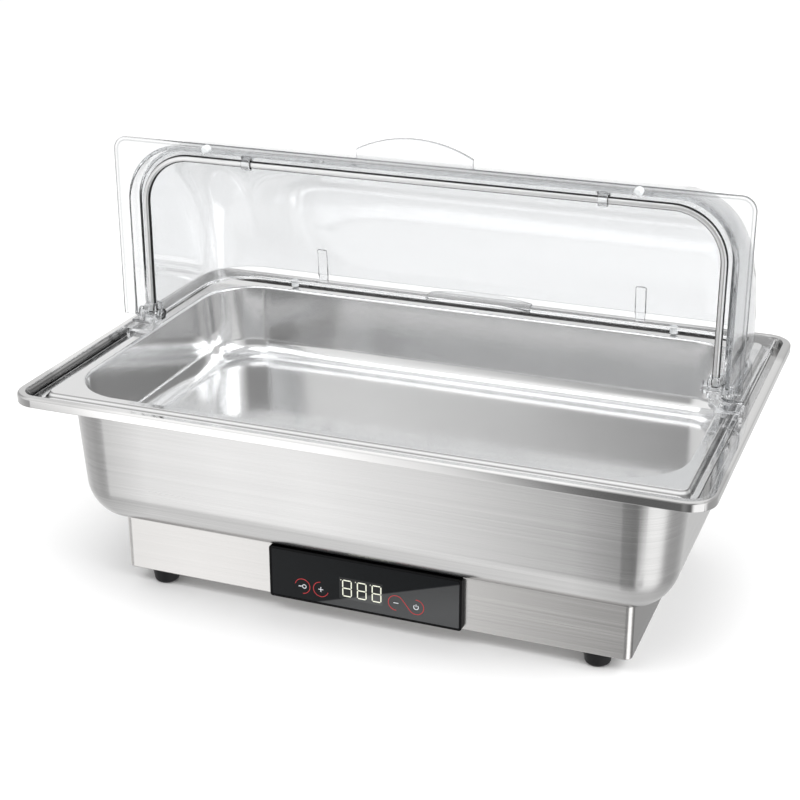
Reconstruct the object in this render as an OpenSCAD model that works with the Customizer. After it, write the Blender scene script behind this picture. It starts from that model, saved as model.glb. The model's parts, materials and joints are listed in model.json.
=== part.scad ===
// Electric chafing dish: a full-size food pan hangs in a heated water pan on a low base,
// under a clear two-part roll-top cover that pivots on the food pan's own flange.
// Millimetres, +Z up, +Y to the rear. The origin is on the table under the middle of the dish.

/* [Food pan] */
// Length of the food pan over its flange
flange_w = 530; // [515:1:540]
// Depth of the food pan over its flange
flange_d = 325; // [315:1:335]
// Outer corner radius of the food pan's flange
flange_corner_r = 14; // [11:1:18]
// Width of the flange's low outer ledge
ledge_w = 4; // [3:0.5:6]
// Width of the bevel between the ledge and the raised flange
bevel_w = 4; // [2:0.5:5]
// Height of the raised flange above its ledge
flange_rise = 4.8; // [3:0.2:6]
// Width of the whole flange at the ends, from its edge to the mouth
flange_band_x = 17; // [15:0.5:30]
// Width of the whole flange at front and rear
flange_band_y = 16.5; // [14.5:0.5:26]
// Corner radius of the food pan's mouth
mouth_corner_r = 48; // [40:1:60]
// Radius of the food pan's rounded shoulder
shoulder_r = 3; // [2:0.5:3.5]
// Inner depth of the food pan
food_depth = 65; // [40:1:80]
// Radius between the food pan's walls and its floor
food_floor_r = 18; // [10:1:24]
// Draft of the food pan's walls in degrees
food_draft = 5; // [2:0.5:7]
// Sheet thickness of the food pan
food_sheet = 1; // [0.8:0.1:1.4]

/* [Water pan] */
// Gap between the food pan's flange and the rim at the ends
trough_gap_x = 8.4; // [7:0.2:12]
// Gap between the food pan's flange and the rim at front and rear
trough_gap_y = 9.9; // [7:0.1:12]
// Width of the flat top of the rim
rim_flat = 6.6; // [5:0.2:10]
// Outer corner radius of the rim
rim_corner_r = 22; // [18:1:28]
// Height of the rim's turned-down skirt
rim_skirt = 8; // [6:0.5:12]
// Width of the hem turned in under the skirt
rim_hem = 3; // [2:0.5:4]
// Depth of the trough inside the rim
trough_drop = 9; // [7:0.5:12]
// Inward slope of the trough's wall
trough_slope = 2; // [1:0.5:3]
// Outer height of the water pan
tub_h = 123; // [110:1:140]
// Gap between the food pan's mouth and the water pan's inner wall
tub_gap = 5; // [3.5:0.5:7]
// Corner radius of the water pan
tub_corner_r = 42; // [34:1:50]
// Radius between the water pan's walls and its floor
tub_floor_r = 38; // [20:1:40]
// Draft of the water pan's walls in degrees
tub_draft = 4; // [1:0.5:5]
// Sheet thickness of the water pan
tub_sheet = 1; // [0.8:0.1:1.4]
// Outer radius of a bent sheet edge
bend_r = 2.5; // [1.6:0.1:3]

/* [Base housing] */
// Length of the base housing
base_w = 434; // [424:1:460]
// Depth of the base housing
base_d = 234; // [222:1:242]
// Height of the base housing
base_h = 47; // [45:1:60]
// Vertical corner radius of the base housing
base_corner_r = 6; // [4:0.5:10]
// Sheet thickness of the base housing and its bottom plate
base_sheet = 1; // [0.8:0.1:1.5]
// Width of the housing's top fold, which carries the water pan
top_fold = 15; // [10:1:20]
// Width of the housing's bottom fold, which takes the bottom plate
bottom_fold = 8; // [7:0.5:9]
// Length of a vent slot in the bottom plate
vent_l = 40; // [20:1:60]
// Width of a vent slot
vent_w = 4; // [2:0.5:5]
// Pitch of the vent slots
vent_pitch = 12; // [9:1:16]
// Number of vent slots in each row
vent_count = 6; // [2:1:7]

/* [Feet] */
// Height of a rubber foot
foot_h = 14; // [10:1:24]
// Diameter of a foot at its top
foot_top_d = 24; // [20:1:26]
// Diameter of a foot at the table
foot_bottom_d = 21; // [19:1:22]
// Rounding of a foot's lower edge
foot_edge_r = 3.5; // [1:0.5:4]
// Distance of a foot's centre from the housing's end
foot_inset_x = 29; // [20:1:40]
// Distance of a foot's centre from the housing's front or rear
foot_inset_y = 14; // [13:0.5:20]
// Diameter of a foot's screw
foot_screw_d = 4; // [3:0.5:5]

/* [Control panel] */
// Width of the panel's bezel
panel_w = 165; // [150:1:180]
// Height of the panel's bezel
panel_h = 46; // [41:0.5:46.5]
// Distance that the bezel stands out of the housing
panel_proud = 5; // [4.5:0.5:10]
// Width of the bezel's edge round the glass
panel_edge = 2; // [1.5:0.1:3]
// Corner radius of the bezel
panel_corner_r = 2.6; // [2.3:0.1:4]
// Thickness of the touch glass
glass_t = 3; // [2:0.2:4]
// Width of the lip that carries the glass
glass_lip = 2.5; // [1.5:0.5:4]
// Length of the bezel's sleeve through the housing wall
sleeve_l = 6; // [4:0.5:9]
// Wall of the bezel's sleeve
sleeve_wall = 1.2; // [1:0.1:2]
// Width of the digit display
display_w = 44; // [36:1:60]
// Height of the digit display
display_h = 20; // [14:1:24]
// Distance between the two touch keys of a pair
key_pitch = 16.5; // [12:0.5:18]
// Distance of the inner touch keys from the middle of the panel
key_offset = 32; // [30:1:38]
// Diameter of a touch key's pad
key_pad_d = 9; // [6:0.5:11]
// Height of the touch keys below the middle of the panel
key_drop = 6; // [0:0.5:8]

/* [Heater] */
// Length of the aluminium heat plate
heat_plate_w = 320; // [310:1:380]
// Depth of the heat plate
heat_plate_d = 150; // [146:1:190]
// Thickness of the heat plate
heat_plate_t = 4; // [3:0.5:6]
// Diameter of the tubular heating element
element_d = 8; // [6:0.5:9]
// Distance between neighbouring runs of the element
element_pitch = 36; // [28:1:38]
// Length of the element's straight runs
element_run = 230; // [180:1:240]
// Thickness of the element's clamp
clamp_t = 1.5; // [1:0.1:2]
// Thickness of the insulation under the clamp
insulation_t = 8; // [4:1:9]
// Distance of a stud from the end of the heat plate
stud_inset_x = 8; // [7:0.5:11]
// Distance of a stud from the front or rear of the heat plate
stud_inset_y = 9; // [7:0.5:10]
// Diameter of a stud
stud_d = 5; // [4:0.5:6]

/* [Power parts] */
// Width of the power board
board_w = 46; // [44:1:48]
// Length of the power board
board_l = 120; // [106:1:130]
// Thickness of a circuit board
board_t = 1.6; // [1:0.1:2]
// Height of the power board's standoffs
standoff_h = 8; // [5:0.5:10]
// Distance of the power board from the end of the housing
board_inset = 12; // [10:0.5:13]
// Diameter of the bore for the supply lead
gland_bore_d = 7; // [5:0.5:8]
// Diameter of the gland's neck through the rear wall
gland_neck_d = 12; // [11:0.5:14]
// Place of the gland along the rear wall
gland_x = 130; // [60:1:140]

/* [Cover] */
// Height of the hinge axis above the food pan's flange
hinge_h = 17; // [15.5:0.5:20]
// Distance of a lid's flange underside below the hinge axis
lid_drop = 11; // [10.5:0.1:11.6]
// Wall thickness of the clear lids
lid_t = 2.5; // [2:0.1:2.8]
// Distance of a lid's front edge inside the food pan's flange
lid_edge_inset = 5; // [4:0.5:8]
// Overhang of a lid's end edge past the food pan's flange
lid_side_lap = 3; // [2:0.5:4]
// Width of the front lid's lip along its front edge
lid_lip = 4.8; // [4.6:0.1:6]
// Width of the front lid's lip at its ends
lid_side_lip = 11; // [10:0.5:13]
// Corner radius of a lid's flange
lid_corner_r = 12; // [6:1:16]
// Gap between the nested lids
nest_gap = 1.2; // [0.8:0.1:1.6]
// Gap between the halves where they meet over the rod
meet_gap = 1; // [0.6:0.1:1.6]
// Width of a lid's handle
handle_w = 98; // [70:1:120]
// Length of the straight side of a handle
handle_side = 8; // [4:0.5:9]
// Total reach of a handle past the lid's edge
handle_reach = 20; // [14:0.5:20]
// Diameter of the arch rod
rod_d = 6; // [5:0.5:6.5]
// Bend radius of the arch rod at its centre line
rod_bend_r = 42; // [30:1:60]
// Gap between the rod and the inner lid at the ends
rod_side_gap = 2.5; // [2.3:0.1:3]
// Thickness of a lid's strap and hook
strap_t = 2; // [1.4:0.1:2]
// Width of a lid's strap
strap_w = 9; // [6:0.5:12]
// Length of a lid's strap along its dome
strap_l = 24; // [15:1:70]
// Distance of the straps from the middle of the dish
strap_x = 150; // [120:1:165]
// Diameter of a lid's soft bumper
bumper_d = 7; // [5:0.5:7.4]
// Distance of the bumpers from the middle of the dish
bumper_x = 180; // [172:1:195]

/* [Hinge brackets] */
// Width of a bracket along the flange
bracket_w = 16; // [14:1:26]
// Thickness of a bracket's saddle
saddle_t = 3; // [2.4:0.1:3.6]
// Thickness of a bracket's outer leg
leg_t = 2.5; // [2:0.1:3]
// Thickness of the stem between a bracket's saddle and its post
stem_t = 4.5; // [3.5:0.1:5]
// Step from the outer face of a post in to its stem
stem_step = 3.6; // [3.4:0.1:4]
// Length along each axis of the slant between the stem and the saddle
slant = 5; // [3.5:0.5:5]
// Width of a bracket's post
post_w = 15; // [13:1:18]
// Height of a bracket's post above the hinge axis
post_rise = 10; // [8:0.5:12]
// Depth of a bracket's post below the hinge axis
post_drop = 6; // [5:0.5:7]
// Wall of the post between the rod and the inner lid
post_wall = 1.8; // [1.5:0.1:1.9]
// Wall of the post between the rod and the pin's head
post_inner_wall = 2.5; // [1.8:0.1:3]
// Gap between a bracket's outer leg and the edge of the food pan's flange
outer_leg_gap = 1.2; // [0.8:0.1:2]
// Diameter of a hinge pin
pin_d = 5; // [4:0.5:6]
// Diameter of a hinge pin's head and cap
pin_head_d = 10; // [8:0.5:11]
// Length of a hinge pin's head
pin_head_l = 5; // [3:0.5:6]
// Length of a hinge pin's cap
pin_cap_l = 3; // [2:0.5:4]
// Radius of a lid's hinge eye
eye_r = 7.5; // [6:0.1:7.6]

/* [Hidden] */

$fn = 96;
// Overlap that makes a cut or a join clean
e = 0.1;
// Gap under a piece that rests on another and lifts off it
rest_gap = 0.2;
// Gap round a piece that drops into a pocket or a hole
fit_gap = 0.2;
// Gap round a pin that a lid turns on
turn_gap = 0.15;
// Gap round a rod or a stud that is pushed home
push_gap = 0.05;
// Gap between a round tube and the flat face it is held against
tube_gap = 0.1;
// Amount by which a rounding stands past the faces that it joins
blend = 0.03;
// Width over which the strips of one sheet are joined
lap = 0.5;

// Heights
base_z = foot_h;
tub_z = base_z + base_h;
rim_z = tub_z + tub_h;
shelf_z = rim_z - trough_drop;
ledge_z = shelf_z + rest_gap + food_sheet;
flange_z = ledge_z + flange_rise;
hinge_z = flange_z + hinge_h;
plate_z = base_z + base_sheet;

// Plan of the pans
mouth_w = flange_w - 2 * flange_band_x;
mouth_d = flange_d - 2 * flange_band_y;
rim_w = flange_w + 2 * (trough_gap_x + rim_flat);
rim_d = flange_d + 2 * (trough_gap_y + rim_flat);
tub_w = mouth_w + 2 * tub_gap;
tub_d = mouth_d + 2 * tub_gap;

// Plan of the cover, worked inwards from the lid's outer edges to the rod
lid_reach = flange_d / 2 - lid_edge_inset;
lid_side = flange_w / 2 + lid_side_lap;
front_r = lid_reach - lid_lip - lid_t;
front_x = lid_side - lid_side_lip - lid_t;
rear_r = front_r - nest_gap - lid_t;
rear_x = front_x - nest_gap - lid_t;
// Gap round the rod in a hook, and the depth over which a hook joins its strap
hook_gap = 0.3;
hook_lap = 0.25;
rod_rise = rear_r - strap_t - hook_gap - hook_lap - rod_d / 2;
rod_x = rear_x - rod_side_gap - rod_d / 2;
rear_corner_r = rod_bend_r + rod_d / 2;
front_corner_r = rear_corner_r + lid_t + nest_gap;
bumper_h = hinge_h - lid_drop - rest_gap;
bumper_inset = bumper_d / 2 + fit_gap;

// Hinge line
post_out_x = rod_x + rod_d / 2 + post_wall;
post_in_x = rod_x - rod_d / 2 - post_inner_wall;
pin_cap_x = front_x + lid_t + fit_gap;
rod_seat = 1;
rod_end_z = hinge_z + pin_d / 2 + rod_seat;
pin_edge = 1;
cap_end_t = 1;

// Control panel
front_y = -base_d / 2;
panel_z = base_z + base_h / 2;
window_w = panel_w - 2 * (panel_edge + glass_lip);
window_h = panel_h - 2 * (panel_edge + glass_lip);
sleeve_w = window_w + 2 * sleeve_wall;
sleeve_h = window_h + 2 * sleeve_wall;
glass_back_y = front_y - panel_proud + fit_gap + glass_t;
board_y = front_y + sleeve_l;
pocket_corner_r = 1.2;
boss = 7;
boss_screw_d = 2;

// Heater
element_z = tub_z - heat_plate_t - element_d / 2 - tube_gap;
clamp_z = element_z - element_d / 2 - tube_gap - clamp_t;
stud_x = heat_plate_w / 2 - stud_inset_x;
stud_y = heat_plate_d / 2 - stud_inset_y;
heat_corner_r = 6;
cutoff_d = 16;
probe_d = 8;
sensor_gap = 2;
sensor_reach = element_run / 2 + element_pitch / 2 + element_d / 2;
cutoff_x = sensor_reach + sensor_gap + cutoff_d / 2;
probe_x = -sensor_reach - sensor_gap - probe_d / 2;

// Fasteners, in proportion to the thread
head_ratio = 2;
head_h_ratio = 0.6;
head_taper = 0.8;
nut_ratio = 1.7;
nut_h_ratio = 0.8;
thread_tail = 3;
plate_screw_d = 3;
board_screw_d = 3;
stud_nut_h = nut_h_ratio * stud_d;
foot_nut_h = nut_h_ratio * foot_screw_d;
foot_seat_z = foot_h / 2;

// Power parts
board_x = base_w / 2 - base_sheet - board_inset - board_w / 2;
board_z = plate_z + standoff_h;
standoff_d = 7;
standoff_in = 5;
gland_z = base_z + base_h / 2;
gland_flange_w = 3.5;
gland_flange_d = gland_neck_d + 2 * gland_flange_w;

// Colours
STEEL = "#C9CBCD";
PLATED = "#9FA3A6";
ALUMINIUM = "#B9BDC0";
RUBBER = "#1B1B1C";
GLOSS_BLACK = "#0B0B0D";
BOARD_GREEN = "#1F5A33";
CLEAR = [0.9, 0.94, 0.97, 0.35];
CHROME = "#D8DCE0";

// Shared shapes

// Rounded rectangle in plan, centred
module rounded_rect(w, d, r) {
  square([w - 2 * r, d], center = true);
  square([w, d - 2 * r], center = true);
  for (sx = [-1, 1], sy = [-1, 1])
    translate([sx * (w / 2 - r), sy * (d / 2 - r)])
      circle(r);
}

// Slot with round ends, centred
module slot(l, w) {
  square([l - w, w], center = true);
  for (sx = [-1, 1])
    translate([sx * (l - w) / 2, 0])
      circle(d = w);
}

// Carries a section round a rounded rectangle. The section's x is measured from the corner's
// axis and its y is the height.
module carry_round(w, d, r) {
  for (sx = [0, 1], sy = [0, 1])
    mirror([sx, 0, 0])
      mirror([0, sy, 0])
        translate([w / 2 - r, d / 2 - r, 0])
          rotate_extrude(angle = 90)
            children();
  for (sy = [0, 1])
    mirror([0, sy, 0])
      translate([0, d / 2 - r, 0])
        rotate([90, 0, 90])
          linear_extrude(w - 2 * r, center = true)
            children();
  for (sx = [0, 1])
    mirror([sx, 0, 0])
      translate([w / 2 - r, 0, 0])
        rotate([90, 0, 0])
          linear_extrude(d - 2 * r, center = true)
            children();
}

// What a rounding of radius r takes off a corner, between the directions of the corner's two faces.
// Its centre lies a little less than r from both faces, so that the rounding ends in a clean edge.
module corner_waste(centre, r, from_angle, to_angle) {
  reach = 2 * r;
  middle = (from_angle + to_angle) / 2;
  translate(centre)
    difference() {
      polygon([
        [0, 0], [reach * cos(from_angle), reach * sin(from_angle)],
        [reach * cos(middle), reach * sin(middle)], [reach * cos(to_angle), reach * sin(to_angle)]
      ]);
      circle(r);
    }
}

// What a bend of radius r takes off a square upper outer corner
module bend_waste(corner, r) {
  depth = r - blend;
  corner_waste([corner[0] - depth, corner[1] - depth], r, 0, 90);
}

// Filled half section of a dish with a drafted wall and a rounded floor edge
module dish_section(inner_x, top_r, top_z, floor_z, floor_r, draft) {
  depth = floor_r - blend;
  low_z = floor_z + depth;
  low_x = top_r - (depth + (top_z - low_z) * sin(draft)) / cos(draft);
  foot_x = top_r - (top_z - floor_z) * tan(draft);
  difference() {
    polygon([[inner_x, floor_z], [foot_x, floor_z], [top_r, top_z], [inner_x, top_z]]);
    corner_waste([low_x, low_z], floor_r, -90, -draft);
  }
}

// Half section of a drawn dish: a flat flange, a rounded shoulder, a drafted wall, a rounded floor edge
// and a floor. mouth_r is the inner corner radius at the level of the flange's top.
module drawn_section(mouth_r, top_z, floor_z, shoulder, floor_r, draft, t) {
  depth = shoulder - blend;
  over = 1;
  shoulder_x = mouth_r + depth * (1 - sin(draft)) / cos(draft);
  difference() {
    union() {
      dish_section(0, mouth_r + t / cos(draft), top_z, floor_z, floor_r, draft);
      translate([0, top_z - t])
        square([mouth_r + shoulder + 2 * lap, t]);
    }
    dish_section(-over, mouth_r + over * tan(draft), top_z + over, floor_z + t, floor_r - t, draft);
    difference() {
      translate([mouth_r - shoulder, top_z - depth])
        square([shoulder_x - mouth_r + shoulder, shoulder]);
      translate([shoulder_x, top_z - depth])
        circle(shoulder);
    }
  }
}

// Drawn dish in one piece with the first strip of its flange
module dish(w, d, mouth_r, top_z, floor_z, shoulder, floor_r, draft, t) {
  carry_round(w, d, mouth_r)
    drawn_section(mouth_r, top_z, floor_z, shoulder, floor_r, draft, t);
  translate([0, 0, floor_z])
    linear_extrude(t)
      square([w - 2 * (mouth_r - lap), d - 2 * (mouth_r - lap)], center = true);
}

// Flat flange round a dish, lapped on the strip that the dish carries
module flange_plate(outer_w, outer_d, outer_r, w, d, mouth_r, shoulder, top_z, t) {
  reach = shoulder + lap;
  translate([0, 0, top_z - t])
    linear_extrude(t)
      difference() {
        rounded_rect(outer_w, outer_d, outer_r);
        rounded_rect(w + 2 * reach, d + 2 * reach, mouth_r + reach);
      }
}

// Turns a shape made about Z so that it is about X, with its start at +Y and its turn towards +Z
module about_x() {
  rotate([90, 0, 90])
    children();
}

// Turns a shape made about Z to lie along +Y
module about_y() {
  rotate([-90, 0, 0])
    children();
}

// Stands a plan shape up to face the front, growing towards -Y
module face_front(depth) {
  rotate([90, 0, 0])
    linear_extrude(depth)
      children();
}

// Hexagonal nut with its underside at z = 0
module nut(across, h, bore) {
  difference() {
    cylinder(d = across / cos(30), h = h, $fn = 6);
    translate([0, 0, -e])
      cylinder(d = bore, h = h + 2 * e);
  }
}

// Pan-head screw, head below z = 0 and shank above
module screw(d, l) {
  head_d = head_ratio * d;
  head_h = head_h_ratio * d;
  translate([0, 0, -head_h])
    cylinder(d1 = head_taper * head_d, d2 = head_d, h = head_h);
  cylinder(d = d, h = l);
}

// Places of the four feet
module at_feet() {
  for (sx = [-1, 1], sy = [-1, 1])
    translate([sx * (base_w / 2 - foot_inset_x), sy * (base_d / 2 - foot_inset_y), 0])
      children();
}

// Places of the screws that hold the bottom plate to the bottom fold
module at_plate_screws() {
  inset = base_sheet + bottom_fold / 2;
  for (sx = [-1, 1], sy = [-1, 1])
    translate([sx * base_w / 4, sy * (base_d / 2 - inset), 0])
      children();
  for (sx = [-1, 1])
    translate([sx * (base_w / 2 - inset), 0, 0])
      children();
}

// Places of the four heater studs
module at_studs() {
  for (sx = [-1, 1], sy = [-1, 1])
    translate([sx * stud_x, sy * stud_y, 0])
      children();
}

// Places of the power board's standoffs
module at_standoffs() {
  for (sx = [-1, 1], sy = [-1, 1])
    translate([board_x + sx * (board_w / 2 - standoff_in), sy * (board_l / 2 - standoff_in), 0])
      children();
}

// Places of the bosses behind the control panel
module at_bosses() {
  for (sx = [-1, 1], sz = [-1, 1])
    translate([sx * (window_w - boss) / 2, 0, panel_z + sz * (window_h - boss) / 2])
      children();
}

// Base

module housing_section() {
  difference() {
    union() {
      translate([base_corner_r - base_sheet, base_z])
        square([base_sheet, base_h]);
      translate([base_corner_r - bend_r - 2 * lap, tub_z - base_sheet])
        square([bend_r + 2 * lap, base_sheet]);
    }
    bend_waste([base_corner_r, tub_z], bend_r);
  }
}

// Flat fold that runs inwards from the housing's wall
module housing_fold(outer_inset, inner_inset, z) {
  translate([0, 0, z])
    linear_extrude(base_sheet)
      difference() {
        rounded_rect(base_w - 2 * outer_inset, base_d - 2 * outer_inset, base_corner_r - outer_inset);
        rounded_rect(base_w - 2 * inner_inset, base_d - 2 * inner_inset, base_corner_r);
      }
}

module base_housing() {
  color(STEEL)
    difference() {
      union() {
        carry_round(base_w, base_d, base_corner_r)
          housing_section();
        housing_fold(bend_r + lap, top_fold, tub_z - base_sheet);
        housing_fold(base_sheet / 2, base_sheet + bottom_fold, plate_z);
      }
      translate([0, front_y + base_sheet + e, panel_z])
        face_front(base_sheet + 2 * e)
          square([sleeve_w + 2 * fit_gap, sleeve_h + 2 * fit_gap], center = true);
      translate([gland_x, base_d / 2 + e, gland_z])
        face_front(base_sheet + 2 * e)
          circle(d = gland_neck_d + 2 * push_gap);
      at_plate_screws()
        translate([0, 0, plate_z - e])
          cylinder(d = plate_screw_d + 2 * push_gap, h = base_sheet + 2 * e);
    }
}

module bottom_plate() {
  plate_w = base_w - 2 * (base_sheet + fit_gap);
  plate_d = base_d - 2 * (base_sheet + fit_gap);
  color(PLATED)
    difference() {
      union() {
        translate([0, 0, base_z])
          linear_extrude(base_sheet)
            rounded_rect(plate_w, plate_d, base_corner_r - base_sheet - fit_gap);
        at_standoffs()
          translate([0, 0, base_z])
            cylinder(d = standoff_d, h = base_sheet + standoff_h);
      }
      for (sx = [-1, 1], i = [0:vent_count - 1])
        translate([sx * (vent_l / 2 + vent_pitch), (i - (vent_count - 1) / 2) * vent_pitch, base_z - e])
          linear_extrude(base_sheet + 2 * e)
            slot(vent_l, vent_w);
      at_feet()
        translate([0, 0, base_z - e])
          cylinder(d = foot_screw_d + 2 * push_gap, h = base_sheet + 2 * e);
      at_plate_screws()
        translate([0, 0, base_z - e])
          cylinder(d = plate_screw_d + 2 * push_gap, h = base_sheet + 2 * e);
      at_standoffs()
        translate([0, 0, base_z - e])
          cylinder(d = board_screw_d + 2 * push_gap, h = base_sheet + standoff_h + 2 * e);
    }
}

module bottom_screws() {
  color(PLATED)
    at_plate_screws()
      translate([0, 0, base_z])
        screw(plate_screw_d, 2 * base_sheet + thread_tail);
}

// One tapered rubber foot with a recess for its screw
module foot(sx, sy) {
  head_d = head_ratio * foot_screw_d;
  slope_x = foot_bottom_d / 2 - foot_edge_r;
  color(RUBBER)
    translate([sx * (base_w / 2 - foot_inset_x), sy * (base_d / 2 - foot_inset_y), 0])
      rotate_extrude()
        difference() {
          union() {
            polygon([
              [0, 0], [slope_x, 0], [foot_bottom_d / 2, foot_edge_r], [foot_top_d / 2, foot_h], [0, foot_h]
            ]);
            translate([slope_x, foot_edge_r])
              circle(foot_edge_r);
          }
          translate([0, -e])
            square([foot_screw_d / 2 + push_gap, foot_h + 2 * e]);
          translate([0, -e])
            square([head_d / 2 + fit_gap, foot_seat_z + e]);
        }
}

module foot_screws() {
  color(PLATED)
    at_feet()
      translate([0, 0, foot_seat_z])
        screw(foot_screw_d, plate_z + foot_nut_h + thread_tail - foot_seat_z);
}

module foot_nuts() {
  color(PLATED)
    at_feet()
      translate([0, 0, plate_z])
        nut(nut_ratio * foot_screw_d, foot_nut_h, foot_screw_d + 2 * push_gap);
}

// Water pan and heater

module rim_section() {
  top_x = rim_corner_r - rim_flat;
  low_x = top_x - trough_slope;
  t = tub_sheet;
  difference() {
    union() {
      translate([rim_corner_r - t, rim_z - rim_skirt])
        square([t, rim_skirt]);
      translate([rim_corner_r - rim_hem, rim_z - rim_skirt])
        square([rim_hem, t]);
      translate([top_x, rim_z - t])
        square([rim_flat, t]);
      polygon([
        [top_x, rim_z], [low_x, shelf_z], [low_x, shelf_z - t],
        [low_x + t, shelf_z - t], [top_x + t, rim_z - t], [top_x + t, rim_z]
      ]);
    }
    bend_waste([rim_corner_r, rim_z], bend_r);
  }
}

module water_pan() {
  shelf_inset = rim_flat + trough_slope - lap;
  shelf_w = rim_w - 2 * shelf_inset;
  shelf_d = rim_d - 2 * shelf_inset;
  shelf_r = rim_corner_r - shelf_inset;
  color(STEEL) {
    carry_round(rim_w, rim_d, rim_corner_r)
      rim_section();
    flange_plate(shelf_w, shelf_d, shelf_r, tub_w, tub_d, tub_corner_r, bend_r, shelf_z, tub_sheet);
    dish(tub_w, tub_d, tub_corner_r, shelf_z, tub_z, bend_r, tub_floor_r, tub_draft, tub_sheet);
  }
}

module heater_studs() {
  tail_z = clamp_z - stud_nut_h - thread_tail;
  color(PLATED)
    at_studs()
      translate([0, 0, tail_z])
        cylinder(d = stud_d, h = tub_z - tail_z);
}

module heat_plate() {
  color(ALUMINIUM)
    difference() {
      translate([0, 0, tub_z - heat_plate_t])
        linear_extrude(heat_plate_t)
          rounded_rect(heat_plate_w, heat_plate_d, heat_corner_r);
      at_studs()
        translate([0, 0, tub_z - heat_plate_t - e])
          cylinder(d = stud_d + 2 * fit_gap, h = heat_plate_t + 2 * e);
    }
}

// Tubular element in four runs and three bends, with its cold ends at the left
module heating_element() {
  runs = 4;
  bends = runs - 1;
  cold_l = 20;
  color(PLATED)
    translate([0, 0, element_z]) {
      for (i = [0:runs - 1])
        translate([-element_run / 2, (i - (runs - 1) / 2) * element_pitch, 0])
          rotate([0, 90, 0])
            cylinder(d = element_d, h = element_run);
      for (i = [0:bends - 1])
        translate([(i % 2 == 1 ? -1 : 1) * element_run / 2, (i - (bends - 1) / 2) * element_pitch, 0])
          rotate([0, 0, i % 2 == 1 ? 90 : -90])
            rotate_extrude(angle = 180)
              translate([element_pitch / 2, 0])
                circle(d = element_d);
      for (i = [0, runs - 1])
        translate([-element_run / 2 - cold_l, (i - (runs - 1) / 2) * element_pitch, 0])
          rotate([0, 90, 0])
            cylinder(d = element_d / 2, h = cold_l + e);
    }
}

module element_clamp() {
  color(PLATED)
    difference() {
      translate([0, 0, clamp_z])
        linear_extrude(clamp_t)
          rounded_rect(heat_plate_w, heat_plate_d, heat_corner_r);
      at_studs()
        translate([0, 0, clamp_z - e])
          cylinder(d = stud_d + 2 * fit_gap, h = clamp_t + 2 * e);
      translate([cutoff_x, 0, clamp_z - e])
        cylinder(d = cutoff_d + 2 * sensor_gap, h = clamp_t + 2 * e);
      translate([probe_x, 0, clamp_z - e])
        cylinder(d = probe_d + 2 * sensor_gap, h = clamp_t + 2 * e);
    }
}

module clamp_nuts() {
  color(PLATED)
    at_studs()
      translate([0, 0, clamp_z - stud_nut_h])
        nut(nut_ratio * stud_d, stud_nut_h, stud_d + 2 * push_gap);
}

module insulation_pad() {
  nut_room = 2 * stud_d;
  pad_corner_r = 4;
  pad_w = min(2 * (stud_x - nut_room), 2 * sensor_reach);
  color("#D9D2BE")
    translate([0, 0, clamp_z - insulation_t])
      linear_extrude(insulation_t)
        rounded_rect(pad_w, 2 * (stud_y - nut_room), pad_corner_r);
}

// Disc cut-out held against the heat plate
module thermal_cutoff() {
  body_h = 7;
  tab = [6.3, 0.8, 8];
  tab_sink = 1;
  color("#2A2A2C")
    translate([cutoff_x, 0, tub_z - heat_plate_t]) {
      translate([0, 0, -body_h])
        cylinder(d = cutoff_d, h = body_h);
      for (s = [-1, 1])
        translate([0, s * cutoff_d / 4, tab_sink - body_h - tab[2] / 2])
          cube(tab, center = true);
    }
}

// Probe that reads the water pan's floor through the heat plate
module temperature_probe() {
  body_h = 9;
  stem_l = 6;
  color(PLATED)
    translate([probe_x, 0, tub_z - heat_plate_t - body_h]) {
      cylinder(d = probe_d, h = body_h);
      translate([0, 0, -stem_l])
        cylinder(d = probe_d / 2, h = stem_l + e);
    }
}

// Power parts

module power_board() {
  corner_r = 2;
  color(BOARD_GREEN)
    difference() {
      translate([board_x, 0, board_z])
        linear_extrude(board_t)
          rounded_rect(board_w, board_l, corner_r);
      at_standoffs()
        translate([0, 0, board_z - e])
          cylinder(d = board_screw_d + 2 * push_gap, h = board_t + 2 * e);
    }
}

module relay() {
  size = [19, 15.5, 15];
  place_y = 8;
  color("#1E4E8C")
    translate([board_x - size[0] / 2, place_y, board_z + board_t])
      cube(size);
}

module transformer() {
  core = [32, 26, 18];
  winding = [20, 34, 13];
  place_y = -20;
  color("#4A4038")
    translate([board_x, place_y, board_z + board_t + core[2] / 2]) {
      cube(core, center = true);
      cube(winding, center = true);
    }
}

module terminal_block() {
  ways = 3;
  pitch = 9;
  depth = 11;
  h = 12;
  hole_d = 5;
  place_y = 32;
  color("#D8D8D2")
    translate([board_x - ways * pitch / 2, place_y, board_z + board_t])
      difference() {
        cube([ways * pitch, depth, h]);
        for (i = [0:ways - 1])
          translate([(i + 0.5) * pitch, depth / 2, h / 2])
            cylinder(d = hole_d, h = h);
      }
}

module board_screws() {
  thread_l = 5;
  color(PLATED)
    at_standoffs()
      translate([0, 0, board_z + board_t])
        rotate([180, 0, 0])
          screw(board_screw_d, board_t + thread_l);
}

// Round gland in the rear wall, bored for the supply lead
module cord_gland() {
  flange_l = 5;
  nose_l = 10;
  neck_l = 12;
  nose_wall = 2.5;
  nose_d = gland_bore_d + 2 * nose_wall;
  color(RUBBER)
    translate([gland_x, base_d / 2, gland_z])
      about_y()
        rotate_extrude()
          polygon([
            [gland_bore_d / 2, -neck_l], [gland_neck_d / 2, -neck_l], [gland_neck_d / 2, 0],
            [gland_flange_d / 2, 0], [gland_flange_d / 2, flange_l],
            [nose_d / 2, flange_l + nose_l], [gland_bore_d / 2, flange_l + nose_l]
          ]);
}

module gland_nut() {
  nut_l = 5;
  nut_wall = 2.5;
  color(RUBBER)
    translate([gland_x, base_d / 2 - base_sheet - nut_l, gland_z])
      about_y()
        nut(gland_neck_d + 2 * nut_wall, nut_l, gland_neck_d + 2 * push_gap);
}

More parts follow.
